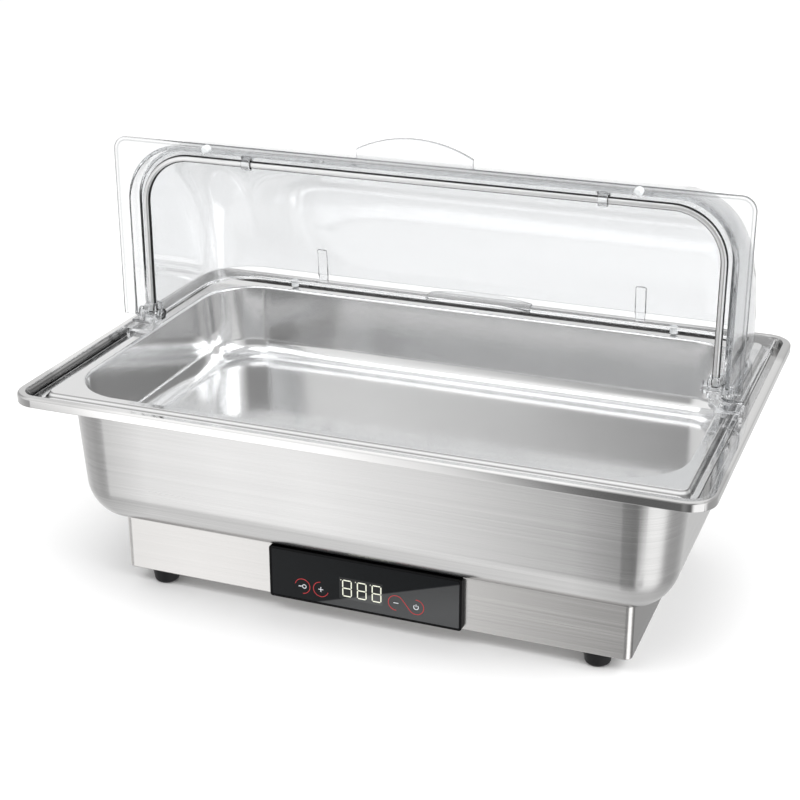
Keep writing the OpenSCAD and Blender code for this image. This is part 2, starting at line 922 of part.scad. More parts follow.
// Control panel

module panel_bezel() {
  pocket_t = glass_t + fit_gap;
  front = front_y - panel_proud;
  color(RUBBER)
    difference() {
      union() {
        difference() {
          union() {
            translate([0, front_y, panel_z])
              face_front(panel_proud)
                rounded_rect(panel_w, panel_h, panel_corner_r);
            translate([0, board_y, panel_z])
              face_front(sleeve_l + e)
                square([sleeve_w, sleeve_h], center = true);
          }
          translate([0, front + pocket_t, panel_z])
            face_front(pocket_t + e)
              rounded_rect(panel_w - 2 * panel_edge, panel_h - 2 * panel_edge, pocket_corner_r);
          translate([0, board_y + e, panel_z])
            face_front(sleeve_l + panel_proud + 2 * e)
              square([window_w, window_h], center = true);
        }
        at_bosses()
          translate([0, board_y, 0])
            face_front(sleeve_l + panel_proud - pocket_t)
              square(boss + 2 * e, center = true);
      }
      at_bosses()
        translate([0, board_y + e, 0])
          face_front(sleeve_l)
            circle(d = boss_screw_d + 2 * push_gap);
    }
}

module panel_glass() {
  edge = panel_edge + fit_gap;
  color(GLOSS_BLACK)
    translate([0, glass_back_y, panel_z])
      face_front(glass_t)
        rounded_rect(panel_w - 2 * edge, panel_h - 2 * edge, pocket_corner_r - fit_gap);
}

module display_module() {
  color("#E8E4CF")
    translate([0, board_y, panel_z])
      face_front(board_y - glass_back_y)
        square([display_w, display_h], center = true);
}

module control_board() {
  color(BOARD_GREEN)
    difference() {
      translate([0, board_y + board_t, panel_z])
        face_front(board_t)
          square([window_w, window_h], center = true);
      at_bosses()
        translate([0, board_y + board_t + e, 0])
          face_front(board_t + 2 * e)
            circle(d = boss_screw_d + 2 * push_gap);
    }
}

module touch_pads() {
  color("#3A3A3C")
    for (s = [-1, 1], i = [0, 1])
      translate([s * (key_offset + i * key_pitch), board_y, panel_z - key_drop])
        face_front(board_y - glass_back_y)
          circle(d = key_pad_d);
}

module control_screws() {
  end_gap = 1.5;
  color(PLATED)
    at_bosses()
      translate([0, board_y + board_t, 0])
        rotate([90, 0, 0])
          screw(boss_screw_d, board_t + sleeve_l - end_gap);
}

// Food pan

module flange_section() {
  low_x = flange_corner_r - ledge_w;
  top_x = low_x - bevel_w;
  t = food_sheet;
  polygon([
    [top_x - 2 * lap, flange_z], [top_x, flange_z], [low_x, ledge_z], [flange_corner_r, ledge_z],
    [flange_corner_r, ledge_z - t], [low_x - t / 2, ledge_z - t],
    [top_x - t / 2, flange_z - t], [top_x - 2 * lap, flange_z - t]
  ]);
}

module food_pan() {
  edge = ledge_w + bevel_w + lap;
  plate_w = flange_w - 2 * edge;
  plate_d = flange_d - 2 * edge;
  plate_r = flange_corner_r - edge;
  floor_z = flange_z - food_depth - food_sheet;
  back_floor_r = food_floor_r + food_sheet;
  color(CHROME) {
    carry_round(flange_w, flange_d, flange_corner_r)
      flange_section();
    flange_plate(
      plate_w, plate_d, plate_r, mouth_w, mouth_d, mouth_corner_r, shoulder_r, flange_z, food_sheet
    );
    dish(
      mouth_w, mouth_d, mouth_corner_r, flange_z, floor_z, shoulder_r, back_floor_r, food_draft, food_sheet
    );
  }
}

// Cover frame

// Bent plate of the right bracket, seen from the front: a leg in the trough, a saddle on the food pan's
// flange, and a slant up to the stem that carries the post
module bracket_plan() {
  leg_x = flange_w / 2 + outer_leg_gap;
  stem_out_x = post_out_x - stem_step;
  stem_in_x = stem_out_x - stem_t;
  saddle_z = flange_z + rest_gap;
  saddle_top_z = saddle_z + saddle_t;
  stem_top_z = hinge_z - post_drop + e;
  polygon([
    [stem_in_x, stem_top_z], [stem_in_x, saddle_z + slant], [stem_in_x + slant, saddle_z],
    [leg_x, saddle_z], [leg_x, shelf_z + rest_gap], [leg_x + leg_t, shelf_z + rest_gap],
    [leg_x + leg_t, saddle_top_z], [stem_out_x + slant, saddle_top_z],
    [stem_out_x, saddle_top_z + slant], [stem_out_x, stem_top_z]
  ]);
}

// Post of the right bracket, seen from its end
module post_plan() {
  top_z = hinge_z + post_rise;
  low_z = hinge_z - post_drop;
  crown_h = 8;
  crown_r = 3;
  translate([-post_w / 2, low_z])
    square([post_w, top_z - low_z - crown_r]);
  translate([0, top_z - crown_h / 2])
    rounded_rect(post_w, crown_h, crown_r);
}

// Bracket at the right end: it sits on the food pan's flange and carries the rod and the pin
module bracket_solid() {
  difference() {
    union() {
      translate([0, bracket_w / 2, 0])
        face_front(bracket_w)
          bracket_plan();
      translate([post_in_x, 0, 0])
        about_x()
          linear_extrude(post_out_x - post_in_x)
            post_plan();
    }
    translate([post_in_x - e, 0, hinge_z])
      rotate([0, 90, 0])
        cylinder(d = pin_d + 2 * push_gap, h = post_out_x - post_in_x + 2 * e);
    translate([rod_x, 0, rod_end_z])
      cylinder(d = rod_d + 2 * push_gap, h = hinge_z + post_rise - rod_end_z + e);
  }
}

module bracket_right() {
  color(CLEAR)
    bracket_solid();
}

module bracket_left() {
  color(CLEAR)
    mirror([1, 0, 0])
      bracket_solid();
}

// Bent round rod that arches over the dish between the brackets
module cover_rod() {
  leg_top_z = hinge_z + rod_rise - rod_bend_r;
  color(CHROME) {
    for (s = [0, 1])
      mirror([s, 0, 0]) {
        translate([rod_x, 0, rod_end_z])
          cylinder(d = rod_d, h = leg_top_z - rod_end_z);
        translate([rod_x - rod_bend_r, 0, leg_top_z])
          rotate([90, 0, 0])
            rotate_extrude(angle = 90)
              translate([rod_bend_r, 0])
                circle(d = rod_d);
      }
    translate([rod_bend_r - rod_x, 0, hinge_z + rod_rise])
      rotate([0, 90, 0])
        cylinder(d = rod_d, h = 2 * (rod_x - rod_bend_r));
  }
}

// Pin at the right end, with its domed head inside the post
module pin_solid() {
  translate([post_in_x, 0, hinge_z])
    rotate([0, 90, 0]) {
      cylinder(d = pin_d, h = pin_cap_x + pin_cap_l - cap_end_t - post_in_x);
      translate([0, 0, -pin_head_l + pin_edge])
        cylinder(d = pin_head_d, h = pin_head_l - pin_edge);
      translate([0, 0, -pin_head_l])
        cylinder(d1 = pin_head_d - 2 * pin_edge, d2 = pin_head_d, h = pin_edge);
    }
}

module hinge_pin_right() {
  color(CLEAR)
    pin_solid();
}

module hinge_pin_left() {
  color(CLEAR)
    mirror([1, 0, 0])
      pin_solid();
}

// Push-on cap that keeps the lids on the pin
module cap_solid() {
  translate([pin_cap_x, 0, hinge_z])
    rotate([0, 90, 0])
      difference() {
        union() {
          cylinder(d = pin_head_d, h = pin_cap_l - pin_edge);
          translate([0, 0, pin_cap_l - pin_edge])
            cylinder(d1 = pin_head_d, d2 = pin_head_d - 2 * pin_edge, h = pin_edge);
        }
        translate([0, 0, -e])
          cylinder(d = pin_d + 2 * push_gap, h = pin_cap_l - cap_end_t + e);
      }
}

module pin_cap_right() {
  color(CLEAR)
    cap_solid();
}

module pin_cap_left() {
  color(CLEAR)
    mirror([1, 0, 0])
      cap_solid();
}

// Lids

// Plan of a lid's mouth: x is the distance from the hinge axis and y runs along the axis
module mouth_plan(r, x, corner_r) {
  translate([0, -x])
    square([r - corner_r, 2 * x]);
  translate([0, corner_r - x])
    square([r, 2 * (x - corner_r)]);
  for (s = [-1, 1])
    translate([r - corner_r, s * (x - corner_r)])
      circle(corner_r);
}

// Wall of a lid in the same plan
module wall_plan(r, x, corner_r) {
  difference() {
    mouth_plan(r + lid_t, x + lid_t, corner_r + lid_t);
    mouth_plan(r, x, corner_r);
  }
}

// Thumb handle past the lid's edge: short straight sides under a shallow arc
module handle_plan() {
  rise = handle_reach - handle_side;
  arc_r = (pow(handle_w / 2, 2) + pow(rise, 2)) / (2 * rise);
  intersection() {
    translate([lid_reach - e, -handle_w / 2])
      square([handle_reach + e, handle_w]);
    translate([lid_reach + handle_reach - arc_r, 0])
      circle(arc_r);
  }
}

// A closed lid that covers the rear half, with the hinge axis on X at z = 0: a quarter turn of the
// mouth's wall, a straight skirt, a flat flange with its handle, and an eye at each end
module lid_solid(r, x, corner_r) {
  difference() {
    union() {
      difference() {
        union() {
          about_x()
            rotate_extrude(angle = 90)
              wall_plan(r, x, corner_r);
          translate([0, 0, -lid_drop])
            rotate([0, 0, 90])
              linear_extrude(lid_drop)
                wall_plan(r, x, corner_r);
          translate([0, 0, -lid_drop])
            rotate([0, 0, 90])
              linear_extrude(lid_t)
                difference() {
                  union() {
                    mouth_plan(lid_reach, lid_side, lid_corner_r);
                    handle_plan();
                  }
                  mouth_plan(r, x, corner_r);
                }
        }
        translate([-lid_side - e, -lid_side, -lid_drop - e])
          cube([2 * (lid_side + e), lid_side + meet_gap / 2, lid_drop + r + lid_t + 2 * e]);
      }
      for (s = [0, 1])
        mirror([s, 0, 0])
          translate([x, 0, 0])
            rotate([0, 90, 0])
              cylinder(r = eye_r, h = lid_t);
    }
    translate([-x - lid_t - e, 0, 0])
      rotate([0, 90, 0])
        cylinder(d = pin_d + 2 * turn_gap, h = 2 * (x + lid_t + e));
  }
}

// Band on a lid's dome at the two strap places, between two angles up from the rear
module strap_band(inner_r, from_angle, to_angle) {
  about_x()
    rotate([0, 0, from_angle])
      rotate_extrude(angle = to_angle - from_angle)
        for (s = [-1, 1])
          translate([inner_r, s * strap_x - strap_w / 2])
            square([strap_t + e, strap_w]);
}

// Bumpers under a closed lid's flange
module lid_bumpers() {
  crown = 1.5;
  for (s = [-1, 1])
    translate([s * bumper_x, lid_reach - bumper_inset, -lid_drop])
      rotate([180, 0, 0]) {
        cylinder(d = bumper_d, h = bumper_h - crown);
        translate([0, 0, bumper_h - crown])
          cylinder(d1 = bumper_d, d2 = bumper_d - 2 * crown, h = crown);
      }
}

// Puts a lid that is modelled closed over the rear half on the hinge line
module rear_closed() {
  translate([0, 0, hinge_z])
    children();
}

// Puts the same lid on the hinge line as the front half, swung up until it is open
module front_open() {
  translate([0, 0, hinge_z])
    rotate([-90, 0, 0])
      mirror([0, 1, 0])
        children();
}

// Rear half: the inner lid, whose two straps end in hooks that hold the rod
module rear_lid() {
  strap_r = rear_r - strap_t;
  strap_angle = strap_l / rear_r * 180 / PI;
  hook_r = rod_d / 2 + hook_gap;
  hook_w = strap_w - 2 * lap;
  hook_reach = hook_r + strap_t + e;
  color(CLEAR)
    rear_closed() {
      lid_solid(rear_r, rear_x, rear_corner_r);
      strap_band(strap_r, 90 - strap_angle, 90 + asin(hook_lap / strap_r));
      for (s = [-1, 1])
        translate([s * strap_x - hook_w / 2, 0, rod_rise])
          about_x()
            linear_extrude(hook_w)
              difference() {
                circle(hook_r + strap_t);
                circle(hook_r);
                translate([hook_lap, -hook_reach])
                  square([hook_reach, 2 * hook_reach]);
              }
    }
}

module rear_lid_bumpers() {
  color(CLEAR)
    rear_closed()
      lid_bumpers();
}

// Front half: the outer lid. Its two straps run on past its edge, so that they stand on the rear lid's
// flange when it is open
module front_lid() {
  strap_r = front_r + lid_t - e;
  strap_angle = strap_l / front_r * 180 / PI;
  overrun = asin((lid_drop - lid_t - hook_gap) / (strap_r + strap_t + e));
  color(CLEAR)
    front_open() {
      lid_solid(front_r, front_x, front_corner_r);
      strap_band(strap_r, 90 - strap_angle, 90 + overrun);
    }
}

module front_lid_bumpers() {
  color(CLEAR)
    front_open()
      lid_bumpers();
}

base_housing();
bottom_plate();
bottom_screws();
foot(-1, -1);  // foot_front_left
foot(1, -1);  // foot_front_right
foot(-1, 1);  // foot_rear_left
foot(1, 1);  // foot_rear_right
foot_screws();
foot_nuts();
water_pan();
heater_studs();
heat_plate();
heating_element();
element_clamp();
clamp_nuts();
insulation_pad();
thermal_cutoff();
temperature_probe();
power_board();
relay();
transformer();
terminal_block();
board_screws();
cord_gland();
gland_nut();
panel_bezel();
panel_glass();
display_module();
control_board();
touch_pads();
control_screws();
food_pan();
bracket_left();
bracket_right();
cover_rod();
hinge_pin_left();
hinge_pin_right();
pin_cap_left();
pin_cap_right();
rear_lid();
rear_lid_bumpers();
front_lid();
front_lid_bumpers();
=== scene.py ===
"""Looks of an electric chafing dish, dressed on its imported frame.

The pans, the base and the cover keep the shapes of the frame, and get rounded edges and finishes here.
The signs on the touch panel are modelled here. Metres, +Z up, +Y to the rear.
"""

import json
import logging
import math
from dataclasses import dataclass, field
from enum import Enum
from typing import Any, Union

import bpy
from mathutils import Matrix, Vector

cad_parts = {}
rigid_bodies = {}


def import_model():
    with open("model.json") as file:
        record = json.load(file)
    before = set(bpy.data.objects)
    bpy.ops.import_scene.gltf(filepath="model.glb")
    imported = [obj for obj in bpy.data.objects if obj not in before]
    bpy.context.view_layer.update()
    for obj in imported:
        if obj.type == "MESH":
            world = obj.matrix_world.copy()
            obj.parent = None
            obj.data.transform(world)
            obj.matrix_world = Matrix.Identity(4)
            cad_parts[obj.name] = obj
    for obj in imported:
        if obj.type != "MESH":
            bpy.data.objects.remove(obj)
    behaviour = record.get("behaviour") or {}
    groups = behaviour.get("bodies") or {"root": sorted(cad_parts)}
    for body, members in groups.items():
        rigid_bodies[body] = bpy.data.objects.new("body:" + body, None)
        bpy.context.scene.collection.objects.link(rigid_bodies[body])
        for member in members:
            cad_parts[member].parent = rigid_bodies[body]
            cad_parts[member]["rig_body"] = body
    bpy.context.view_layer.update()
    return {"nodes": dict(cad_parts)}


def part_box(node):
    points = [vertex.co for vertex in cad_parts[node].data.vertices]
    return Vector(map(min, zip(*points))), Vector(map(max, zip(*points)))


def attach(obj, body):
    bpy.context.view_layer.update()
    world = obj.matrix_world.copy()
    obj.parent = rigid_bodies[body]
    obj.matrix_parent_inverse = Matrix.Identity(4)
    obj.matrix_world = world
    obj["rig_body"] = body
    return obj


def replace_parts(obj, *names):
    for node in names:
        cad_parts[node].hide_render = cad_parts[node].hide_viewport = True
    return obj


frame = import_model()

LOG = logging.getLogger("chafing_dish")
MM = 0.001

Colour = tuple[float, float, float, float]
Number = Union[float, "Value"]


class Value:
    """A number on a shader socket. Python's operators on it add Math nodes."""

    def __init__(self, graph: "NodeGraph", socket: bpy.types.NodeSocket) -> None:
        """Keeps a socket and its graph.

        Args:
            graph: The graph that new Math nodes go into.
            socket: The output socket that gives the number.
        """
        self.graph = graph
        self.socket = socket

    def __add__(self, other: Number) -> "Value":
        """Sum of the two."""
        return self.graph.math("ADD", self, other)

    def __radd__(self, other: Number) -> "Value":
        """Sum of the two."""
        return self.graph.math("ADD", other, self)

    def __sub__(self, other: Number) -> "Value":
        """This less the other."""
        return self.graph.math("SUBTRACT", self, other)

    def __rsub__(self, other: Number) -> "Value":
        """The other less this."""
        return self.graph.math("SUBTRACT", other, self)

    def __mul__(self, other: Number) -> "Value":
        """Product of the two."""
        return self.graph.math("MULTIPLY", self, other)

    def __rmul__(self, other: Number) -> "Value":
        """Product of the two."""
        return self.graph.math("MULTIPLY", other, self)

    def __truediv__(self, other: Number) -> "Value":
        """This over the other."""
        return self.graph.math("DIVIDE", self, other)

    def __rtruediv__(self, other: Number) -> "Value":
        """The other over this."""
        return self.graph.math("DIVIDE", other, self)

    def __pow__(self, other: Number) -> "Value":
        """This to the power of the other."""
        return self.graph.math("POWER", self, other)

    def __rpow__(self, other: Number) -> "Value":
        """The other to the power of this."""
        return self.graph.math("POWER", other, self)

    def __neg__(self) -> "Value":
        """This with its sign turned."""
        return self.graph.math("MULTIPLY", self, -1.0)

    def __abs__(self) -> "Value":
        """This without its sign."""
        return self.graph.math("ABSOLUTE", self, 0.0)

    def clamped(self) -> "Value":
        """This held between 0 and 1."""
        return Value(self.graph, self.graph.node("ShaderNodeClamp", {}, {"Value": self}).outputs["Result"])


class NodeGraph:
    """A node tree and the few ways in which its nodes are made."""

    def __init__(self, tree: bpy.types.NodeTree) -> None:
        """Keeps the tree.

        Args:
            tree: The node tree of a material or of the world.
        """
        self.tree = tree

    def node(self, kind: str, settings: dict[str, Any], inputs: dict[Any, Any]) -> bpy.types.Node:
        """Adds a node.

        Args:
            kind: The node's type.
            settings: The node's own settings, set first. "stops" fills a ramp with places and colours.
            inputs: A number, colour, Value or socket for each named input.

        Returns:
            The new node.
        """
        made = self.tree.nodes.new(kind)
        for key, setting in settings.items():
            if key == "stops":
                self._fill_ramp(made.color_ramp, setting)
            else:
                setattr(made, key, setting)
        for key, given in inputs.items():
            self.feed(made.inputs[key], given)
        return made

    @staticmethod
    def _fill_ramp(ramp: bpy.types.ColorRamp, stops: list[tuple[float, float]]) -> None:
        """Gives a ramp its grey stops.

        Args:
            ramp: The ramp to fill.
            stops: Place and brightness of each stop, in order.
        """
        ramp.interpolation = "EASE"
        while len(ramp.elements) < len(stops):
            ramp.elements.new(1.0)
        for element, (place, level) in zip(ramp.elements, stops):
            element.position = place
            element.color = (level, level, level, 1.0)

    def feed(self, socket: bpy.types.NodeSocket, given: Any) -> None:
        """Links or sets an input.

        Args:
            socket: The input socket.
            given: A Value, a socket, or a plain number or colour.
        """
        source = given.socket if isinstance(given, Value) else given
        if isinstance(source, bpy.types.NodeSocket):
            self.tree.links.new(source, socket)
        else:
            socket.default_value = source

    def math(self, operation: str, first: Number, second: Number) -> Value:
        """Adds a Math node.

        Args:
            operation: The Math node's operation.
            first: The first number.
            second: The second number.

        Returns:
            The result.
        """
        made = self.node("ShaderNodeMath", {"operation": operation}, {0: first, 1: second})
        return Value(self, made.outputs[0])

    def parts(self, vector: bpy.types.NodeSocket) -> tuple[Value, Value, Value]:
        """Splits a vector.

        Args:
            vector: The vector's socket.

        Returns:
            Its x, y and z.
        """
        made = self.node("ShaderNodeSeparateXYZ", {}, {"Vector": vector})
        return Value(self, made.outputs[0]), Value(self, made.outputs[1]), Value(self, made.outputs[2])

    def place(self, stretch: tuple[float, float, float] = (1.0, 1.0, 1.0)) -> bpy.types.NodeSocket:
        """Object coordinates, stretched.

        Args:
            stretch: Scale along each axis.

        Returns:
            The vector's socket.
        """
        where = self.node("ShaderNodeTexCoord", {}, {}).outputs["Object"]
        return self.node("ShaderNodeMapping", {}, {"Vector": where, "Scale": stretch}).outputs["Vector"]

    def noise(self, where: bpy.types.NodeSocket, scale: float, detail: float = 2.0) -> Value:
        """Noise around 0.5.

        Args:
            where: Coordinates to read it at.
            scale: Grains per metre.
            detail: Number of finer layers.

        Returns:
            The noise.
        """
        made = self.node("ShaderNodeTexNoise", {}, {"Vector": where, "Scale": scale, "Detail": detail})
        return Value(self, made.outputs[0])

    def blend(self, factor: Number, first: Any, second: Any) -> bpy.types.NodeSocket:
        """Mixes two colours.

        Args:
            factor: Share of the second colour.
            first: The first colour.
            second: The second colour.

        Returns:
            The mixed colour's socket.
        """
        made = self.node("ShaderNodeMix", {"data_type": "RGBA"}, {"Factor": factor})
        sockets = [s for s in made.inputs if s.type == "RGBA"]
        self.feed(sockets[0], first)
        self.feed(sockets[1], second)
        return next(s for s in made.outputs if s.type == "RGBA")

    def bump(self, height: Value, strength: float, depth: float) -> bpy.types.NodeSocket:
        """Turns a height into a normal.

        Args:
            height: The height, from 0 to 1.
            strength: Share of the effect.
            depth: Real depth of the relief, in metres.

        Returns:
            The normal's socket.
        """
        given = {"Height": height, "Strength": strength, "Distance": depth}
        return self.node("ShaderNodeBump", {}, given).outputs["Normal"]


class Surface(NodeGraph):
    """A material with one Principled shader."""

    def __init__(self, name: str) -> None:
        """Makes the material.

        Args:
            name: The material's name.
        """
        self.material = bpy.data.materials.new(name)
        self.material.use_nodes = True
        super().__init__(self.material.node_tree)
        self.shader = next(n for n in self.tree.nodes if n.type == "BSDF_PRINCIPLED")

    def set(self, **inputs: Any) -> None:
        """Sets the shader's inputs.

        Args:
            **inputs: A number, colour, Value or socket for each input, with underscores for spaces.
        """
        for key, given in inputs.items():
            self.feed(self.shader.inputs[key.replace("_", " ")], given)


def grey(level: float, warmth: float = 0.0) -> Colour:
    """A grey with a touch of warmth.

    Args:
        level: Brightness.
        warmth: Share by which red goes up and blue goes down.

    Returns:
        The colour.
    """
    return (level * (1 + warmth), level, level * (1 - warmth), 1.0)


def scaled(colour: Colour, share: float) -> Colour:
    """A colour made lighter or darker.

    Args:
        colour: The colour.
        share: Share of its brightness.

    Returns:
        The new colour.
    """
    return (colour[0] * share, colour[1] * share, colour[2] * share, 1.0)


class Reach(Enum):
    """The distances that a painted shade's ramps run over."""

    ALONG = "from the middle to the left or right"
    ACROSS = "from the middle to the front or back"
    UP = "above the floor"
    OUT = "beyond the shade's outline, negative within it"


@dataclass(frozen=True)
class PaintedShade:
    """Painted shade: a stretch of a finish's colour painted darker to stand in for shade, where all of its
    ramps have begun.

    Attributes:
        strength: Share of the brightness that it takes at its fullest.
        ramps: A distance, the place where the shade begins and the place where it is full, in metres.
        half: Half of the length and depth of the shade's outline, in metres.
    """

    strength: float
    ramps: tuple[tuple[Reach, float, float], ...]
    half: tuple[float, float] = (0.0, 0.0)

    def share(self, surface: Surface) -> Number:
        """Share of the brightness that the shade takes.

        Args:
            surface: The surface to shade.

        Returns:
            The share.
        """
        x, y, up = surface.parts(surface.place())
        along, across = abs(x), abs(y)
        out = surface.math("MAXIMUM", along - self.half[0], across - self.half[1])
        places = {Reach.ALONG: along, Reach.ACROSS: across, Reach.UP: up, Reach.OUT: out}
        share: Number = self.strength
        for reach, begin, full in self.ramps:
            share = ((places[reach] - begin) / (full - begin)).clamped() * share
        return share


@dataclass(frozen=True)
class Finish:
    """What every finish has.

    Attributes:
        name: Name of the material.
        slot: The record's material slot; not used.
        shades: The shade painted into its colour, as darker stretches.
    """

    name: str
    slot: str
    shades: tuple[PaintedShade, ...] = ()

    def shaded(self, surface: Surface, tone: Any) -> Any:
        """A colour with the finish's painted shade laid over it.

        Args:
            surface: The surface to shade.
            tone: The colour, or its socket.

        Returns:
            The colour, or its socket.
        """
        for shade in self.shades:
            tone = surface.blend(shade.share(surface), tone, grey(0.0))
        return tone

    def material(self) -> bpy.types.Material:
        """The finish as a material, made once."""
        return bpy.data.materials.get("look_" + self.name) or self.paint(Surface("look_" + self.name))

    def paint(self, surface: Surface) -> bpy.types.Material:
        """Fills in a new surface.

        Args:
            surface: The surface to fill in.

        Returns:
            Its material.
        """
        raise NotImplementedError


@dataclass(frozen=True)
class BrushedSteel(Finish):
    """Steel with fine lines along its length.

    Attributes:
        level: Brightness of the steel.
        warmth: Warmth of the steel.
        roughness: Mean roughness.
        line: Height of a brushed line, in metres.
        run: Length of a brushed line, in metres.
        depth: Depth of the lines, in metres.
        relief: Share of the lines' relief that shows.
        contrast: Share of the brightness by which the lines darken and lighten the steel.
        line_rough: How much the lines change the roughness.
        clouds: Clouds in the roughness per metre.
        cloud_rough: How much the clouds change the roughness.
        spread: How much the lines spread a reflection across them.
        polish_z: Height above which the steel is polished, in metres.
        polish_fade: Height over which the brushing fades out, in metres.
        polish: Roughness where it is polished.
        polish_and_highlight_level: Brightness where it is polished; on the housing it is raised well above
            the brushed steel's, a painted highlight along the top edge.
    """

    level: float = 0.78
    warmth: float = 0.006
    roughness: float = 0.24
    line: float = 0.75 * MM
    run: float = 240 * MM
    depth: float = 0.012 * MM
    relief: float = 0.08
    contrast: tuple[float, float] = (0.2, 0.16)
    line_rough: float = 0.1
    clouds: float = 9.0
    cloud_rough: float = 0.05
    spread: float = 0.5
    polish_z: float = 1.0
    polish_fade: float = 1.5 * MM
    polish: float = 0.09
    polish_and_highlight_level: float = 0.8

    def paint(self, surface: Surface) -> bpy.types.Material:
        """Brushed lines in colour, roughness and relief, broad clouds in roughness, a polished top, and the
        finish's painted shade.

        Args:
            surface: The surface to fill in.

        Returns:
            Its material.
        """
        along = 1 / self.run
        fine = surface.noise(surface.place((along, along, 1 / self.line)), 1.0, 1.5)
        broad = surface.noise(surface.place((along / 3, along / 3, 0.2 / self.line)), 1.0, 2.0)
        clouds = surface.noise(surface.place(), self.clouds, 2.0)
        _, _, height = surface.parts(surface.place())
        brushed = 1.0 - ((height - self.polish_z) / self.polish_fade).clamped()
        lines = ((fine * 0.7 + broad * 0.3 - 0.5) * brushed + 0.5).clamped()
        low = grey(self.level * (1 - self.contrast[0]), self.warmth)
        high = grey(self.level * (1 + self.contrast[1]), self.warmth)
        rough = self.roughness + (fine - 0.5) * self.line_rough + (clouds - 0.5) * self.cloud_rough
        tone = surface.blend(brushed, grey(self.polish_and_highlight_level, self.warmth), surface.blend(lines, low, high))
        # The base colour carries the finish's painted shade.
        surface.set(
            Base_Color=self.shaded(surface, tone),
            Roughness=self.polish + (rough - self.polish) * brushed,
            Metallic=1.0,
            Anisotropic=self.spread,
            Normal=surface.bump(fine * brushed, self.relief, self.depth),
        )
        return surface.material


@dataclass(frozen=True)
class PolishedSteel(Finish):
    """Drawn steel, polished, with the faint unevenness of pressed sheet.

    Attributes:
        level: Brightness of the steel.
        warmth: Warmth of the steel.
        roughness: Mean roughness.
        clouds: Clouds in the colour per metre.
        cloud_rough: How much the clouds change the roughness.
        wipe_rough: How much the marks of wiping change the roughness.
        waves: Waves of the sheet per metre.
        wave: Depth of the sheet's unevenness, in metres.
    """

    level: float = 0.76
    warmth: float = 0.0
    roughness: float = 0.13
    clouds: float = 14.0
    cloud_rough: float = 0.04
    wipe_rough: float = 0.08
    waves: float = 22.0
    wave: float = 0.03 * MM

    def paint(self, surface: Surface) -> bpy.types.Material:
        """Soft clouds in colour and roughness over a slightly wavy sheet, with the finish's painted shade.

        Args:
            surface: The surface to fill in.

        Returns:
            Its material.
        """
        clouds = surface.noise(surface.place(), self.clouds, 3.0)
        wipes = surface.noise(surface.place((8.0, 60.0, 60.0)), 6.0, 3.0)
        low, high = grey(self.level * 0.95, self.warmth), grey(self.level * 1.04, self.warmth)
        tone = surface.blend(clouds, low, high)
        # The base colour carries the finish's painted shade.
        surface.set(
            Base_Color=self.shaded(surface, tone),
            Roughness=self.roughness + (wipes - 0.5) * self.wipe_rough + (clouds - 0.5) * self.cloud_rough,
            Metallic=1.0,
            Normal=surface.bump(surface.noise(surface.place(), self.waves, 1.0), 0.3, self.wave),
        )
        return surface.material


@dataclass(frozen=True)
class ClearPlastic(Finish):
    """Clear moulded plastic that takes a little of the light on its way through.

    Attributes:
        index: Refractive index.
        roughness: Mean roughness.
        wear_rough: How much hairline wear changes the roughness.
        flow_depth: Depth of the moulding's flow marks, in metres.
        pass_level: Share of the light that a wall lets through.
        tint: Colour of thick plastic.
        density: How fast the colour deepens, per metre.
    """

    index: float = 1.5
    roughness: float = 0.012
    wear_rough: float = 0.016
    flow_depth: float = 0.05 * MM
    pass_level: float = 0.865
    tint: Colour = (0.46, 0.5, 0.53, 1.0)
    density: float = 1.0

    def paint(self, surface: Surface) -> bpy.types.Material:
        """Clear, with hairline wear in its gloss and a hint of flow in its moulding.

        Args:
            surface: The surface to fill in.

        Returns:
            Its material.
        """
        wear = surface.noise(surface.place((40.0, 40.0, 400.0)), 2.0, 3.0)
        flow = surface.noise(surface.place(), 9.0, 1.0)
        surface.set(
            Base_Color=self.tone(surface),
            Roughness=self.roughness + (wear - 0.5) * self.wear_rough,
            Transmission_Weight=1.0,
            IOR=self.index,
            Normal=surface.bump(flow, 0.25, self.flow_depth),
        )
        inside = {"Color": self.tint, "Density": self.density}
        absorb = surface.node("ShaderNodeVolumeAbsorption", {}, inside)
        output = next(n for n in surface.tree.nodes if n.type == "OUTPUT_MATERIAL")
        surface.feed(output.inputs["Volume"], absorb.outputs["Volume"])
        return surface.material

    def tone(self, surface: Surface) -> Any:
        """The colour of the light that passes.

        Args:
            surface: The surface to colour.

        Returns:
            A colour, or the socket of one that varies.
        """
        return grey(self.pass_level, -0.006)


